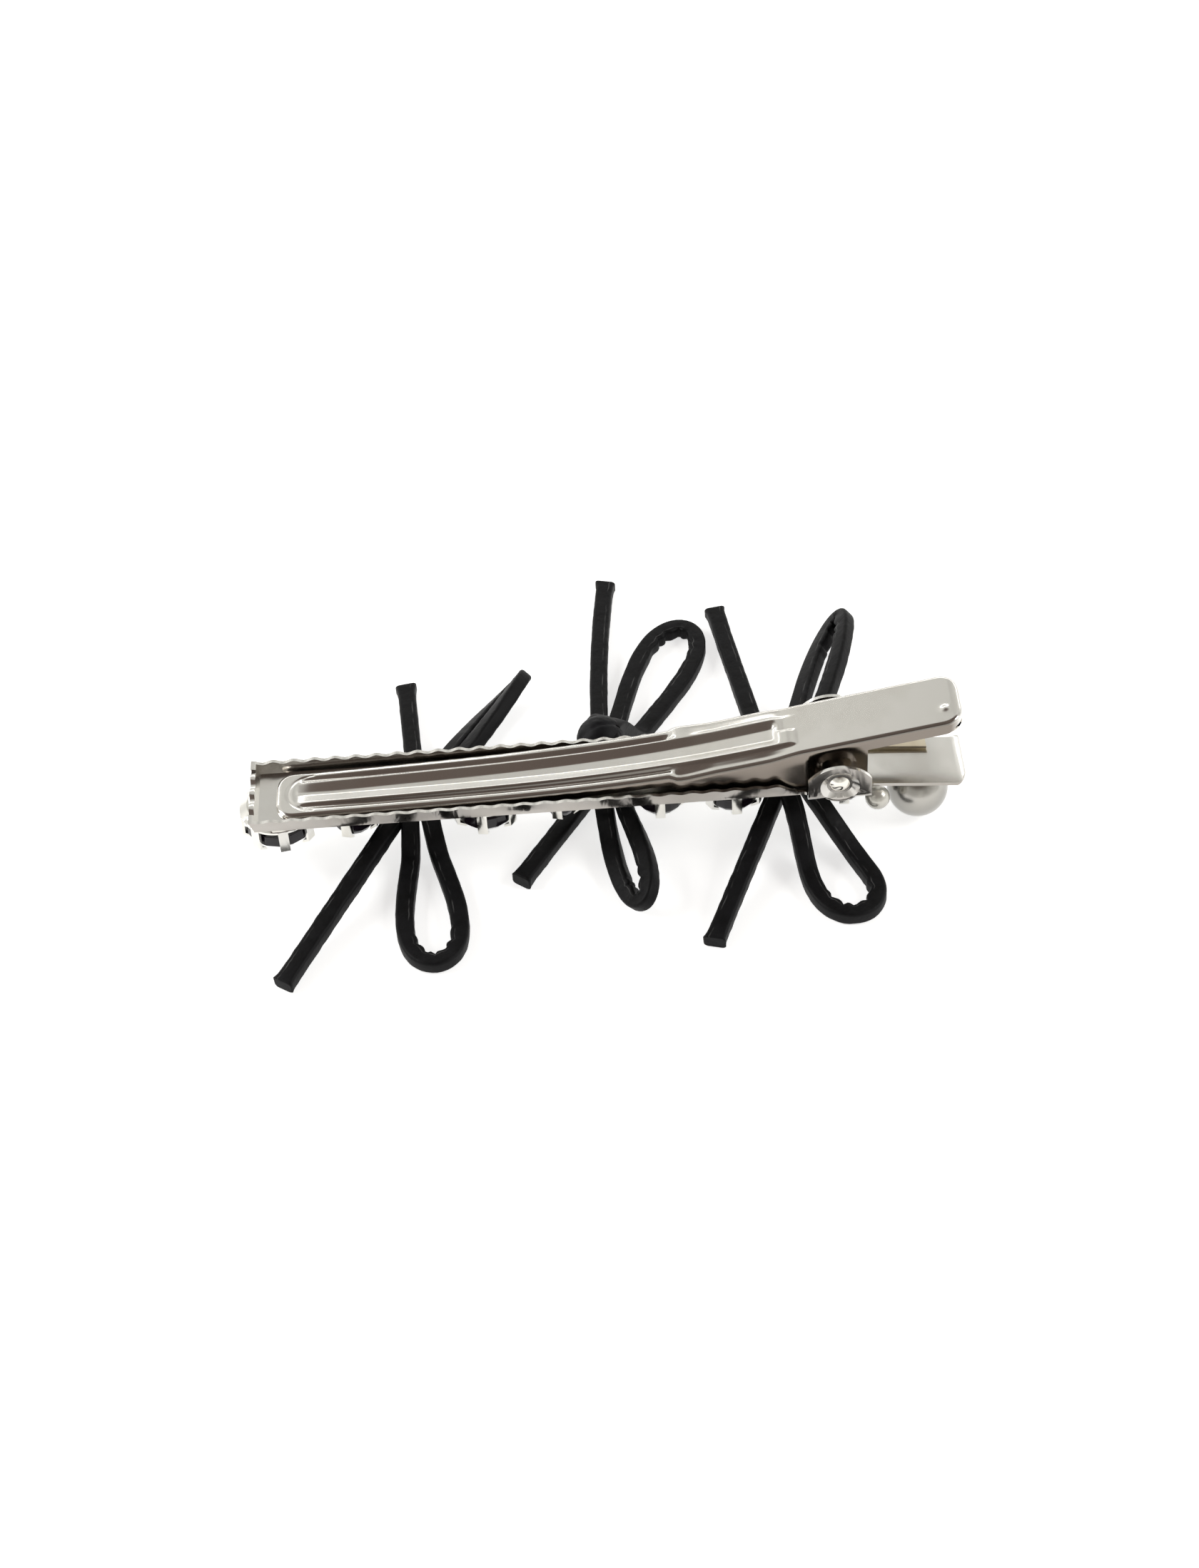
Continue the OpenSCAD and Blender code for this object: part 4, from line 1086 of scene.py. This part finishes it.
strap_leather = leather("strap leather", dark_color=(0.0018, 0.0018, 0.0022),
                        worn_color=(0.006, 0.006, 0.007), with_line=True)
knot_leather = leather("knot leather", dark_color=(0.004, 0.004, 0.005),
                       worn_color=(0.012, 0.012, 0.014), with_line=False)
print("strap materials", strap_leather.name, "and", knot_leather.name)

# %% [markdown]
# Each bow has an upper tail and loop and a lower tail and loop. A heading counts in degrees from the
# handle end towards the far side, and a length in mm from the middle of the knot. Both were measured in
# the photograph. Curl bends a strap sideways, roll turns a loop onto its edge, and run is how far from
# the knot it comes down. These three were judged from the photograph.

# %% Bows
KNOTS = {1: (-20.5, 3.7, -2.8), 2: (-0.4, 7.095, -1.4), 3: (18.7, 1.5, -2.8)}
bow_routes = {
    1: [
        tail_route(KNOTS[1], heading=94, length=19.6),
        loop_route(KNOTS[1], heading=57, length=21.5, end_radius=1.2, roll=-60, end_z=ON_STRAP_Z),
        tail_route(KNOTS[1], heading=239.2, length=27.35, run=26),
        loop_route(KNOTS[1], heading=275.4, length=21.9, end_radius=2.8, curl=-2),
    ],
    2: [
        tail_route(KNOTS[2], heading=91.2, length=31.5, curl=-9),
        loop_route(KNOTS[2], heading=65.5, length=25.2, end_radius=2.9),
        tail_route(KNOTS[2], heading=237.5, length=17.4),
        loop_route(KNOTS[2], heading=278, length=20, end_radius=1.6, curl=3, roll=42, end_z=ROLLED_Z),
    ],
    3: [
        tail_route(KNOTS[3], heading=100, length=31.6, curl=-2),
        loop_route(KNOTS[3], heading=71.5, length=28.3, end_radius=1.7, roll=-45, end_z=ON_STRAP_Z),
        tail_route(KNOTS[3], heading=245.5, length=21.4, run=20),
        loop_route(KNOTS[3], heading=295, length=18, end_radius=3.0, curl=-7, run=12),
    ],
}
for number, routes in bow_routes.items():
    mesh = bmesh.new()
    uv_layer = mesh.loops.layers.uv.new("strap")
    lengths = []
    for which, route in enumerate(routes):
        is_tail = which in (0, 2)
        swept = sweep_strap(mesh, uv_layer, route, seed=3 * number + which, cut_end=is_tail)
        lengths.append(round(swept, 1))
    bmesh.ops.recalc_face_normals(mesh, faces=mesh.faces)
    strap_data = bpy.data.meshes.new(f"bow_{number}_straps")
    mesh.to_mesh(strap_data)
    mesh.free()
    straps = bpy.data.objects.new(f"bow_{number}_straps", strap_data)
    bpy.context.collection.objects.link(straps)
    hand_over(straps, strap_leather, "clip", "strap", f"bow_{number}")
    print("strap lengths in mm", lengths)

# %% [markdown]
# Each bow is held by a short piece of the same strap wound round its middle. A sphere gives the round
# barrel. Its ends are flattened, it is creased all over, and it is drawn in where one turn meets the
# next.

# %% Knots
KNOT_RADIUS = {1: 2.1, 2: 2.6, 3: 2.1}
KNOT_FLAT = 0.9
TURN_EDGE = 0.80
TURN_SLANT = 0.30
SEAM_WIDE = 0.22
SEAM_PULL = 0.07
EDGE_WIDE = 0.20
EDGE_PULL = 0.04
CREASE_DEPTH = 0.05
for number, at in KNOTS.items():
    radius = KNOT_RADIUS[number]
    deselect_all()
    middle = Vector(at) * MM
    bpy.ops.mesh.primitive_uv_sphere_add(segments=64, ring_count=40, radius=radius * MM,
                                         location=middle, rotation=(math.radians(90), 0, 0))
    wrap = bpy.context.object
    wrap.name = f"knot_{number}_wrap"
    bpy.ops.object.transform_apply(location=True, rotation=True, scale=True)
    for vertex in wrap.data.vertices:
        out = (vertex.co - middle) / MM
        turn = math.atan2(out.z, out.x)
        seam_y = TURN_SLANT * radius * math.sin(turn + number)
        at_seam = math.exp(-(((out.y - seam_y) / SEAM_WIDE) ** 2))
        at_edge = math.exp(-(((abs(out.y) - TURN_EDGE * radius) / EDGE_WIDE) ** 2))
        crease = CREASE_DEPTH * noise.noise(Vector((turn * 3, out.y * 2.2, number)))
        pull = 1 - SEAM_PULL * at_seam - EDGE_PULL * at_edge - abs(crease)
        out.x *= pull
        out.z *= pull
        out.y = max(-KNOT_FLAT * radius, min(KNOT_FLAT * radius, out.y))
        vertex.co = middle + out * MM
    bpy.ops.object.shade_smooth()
    hand_over(wrap, knot_leather, "clip", "strap", f"knot_{number}")
print("knots", len(KNOTS))
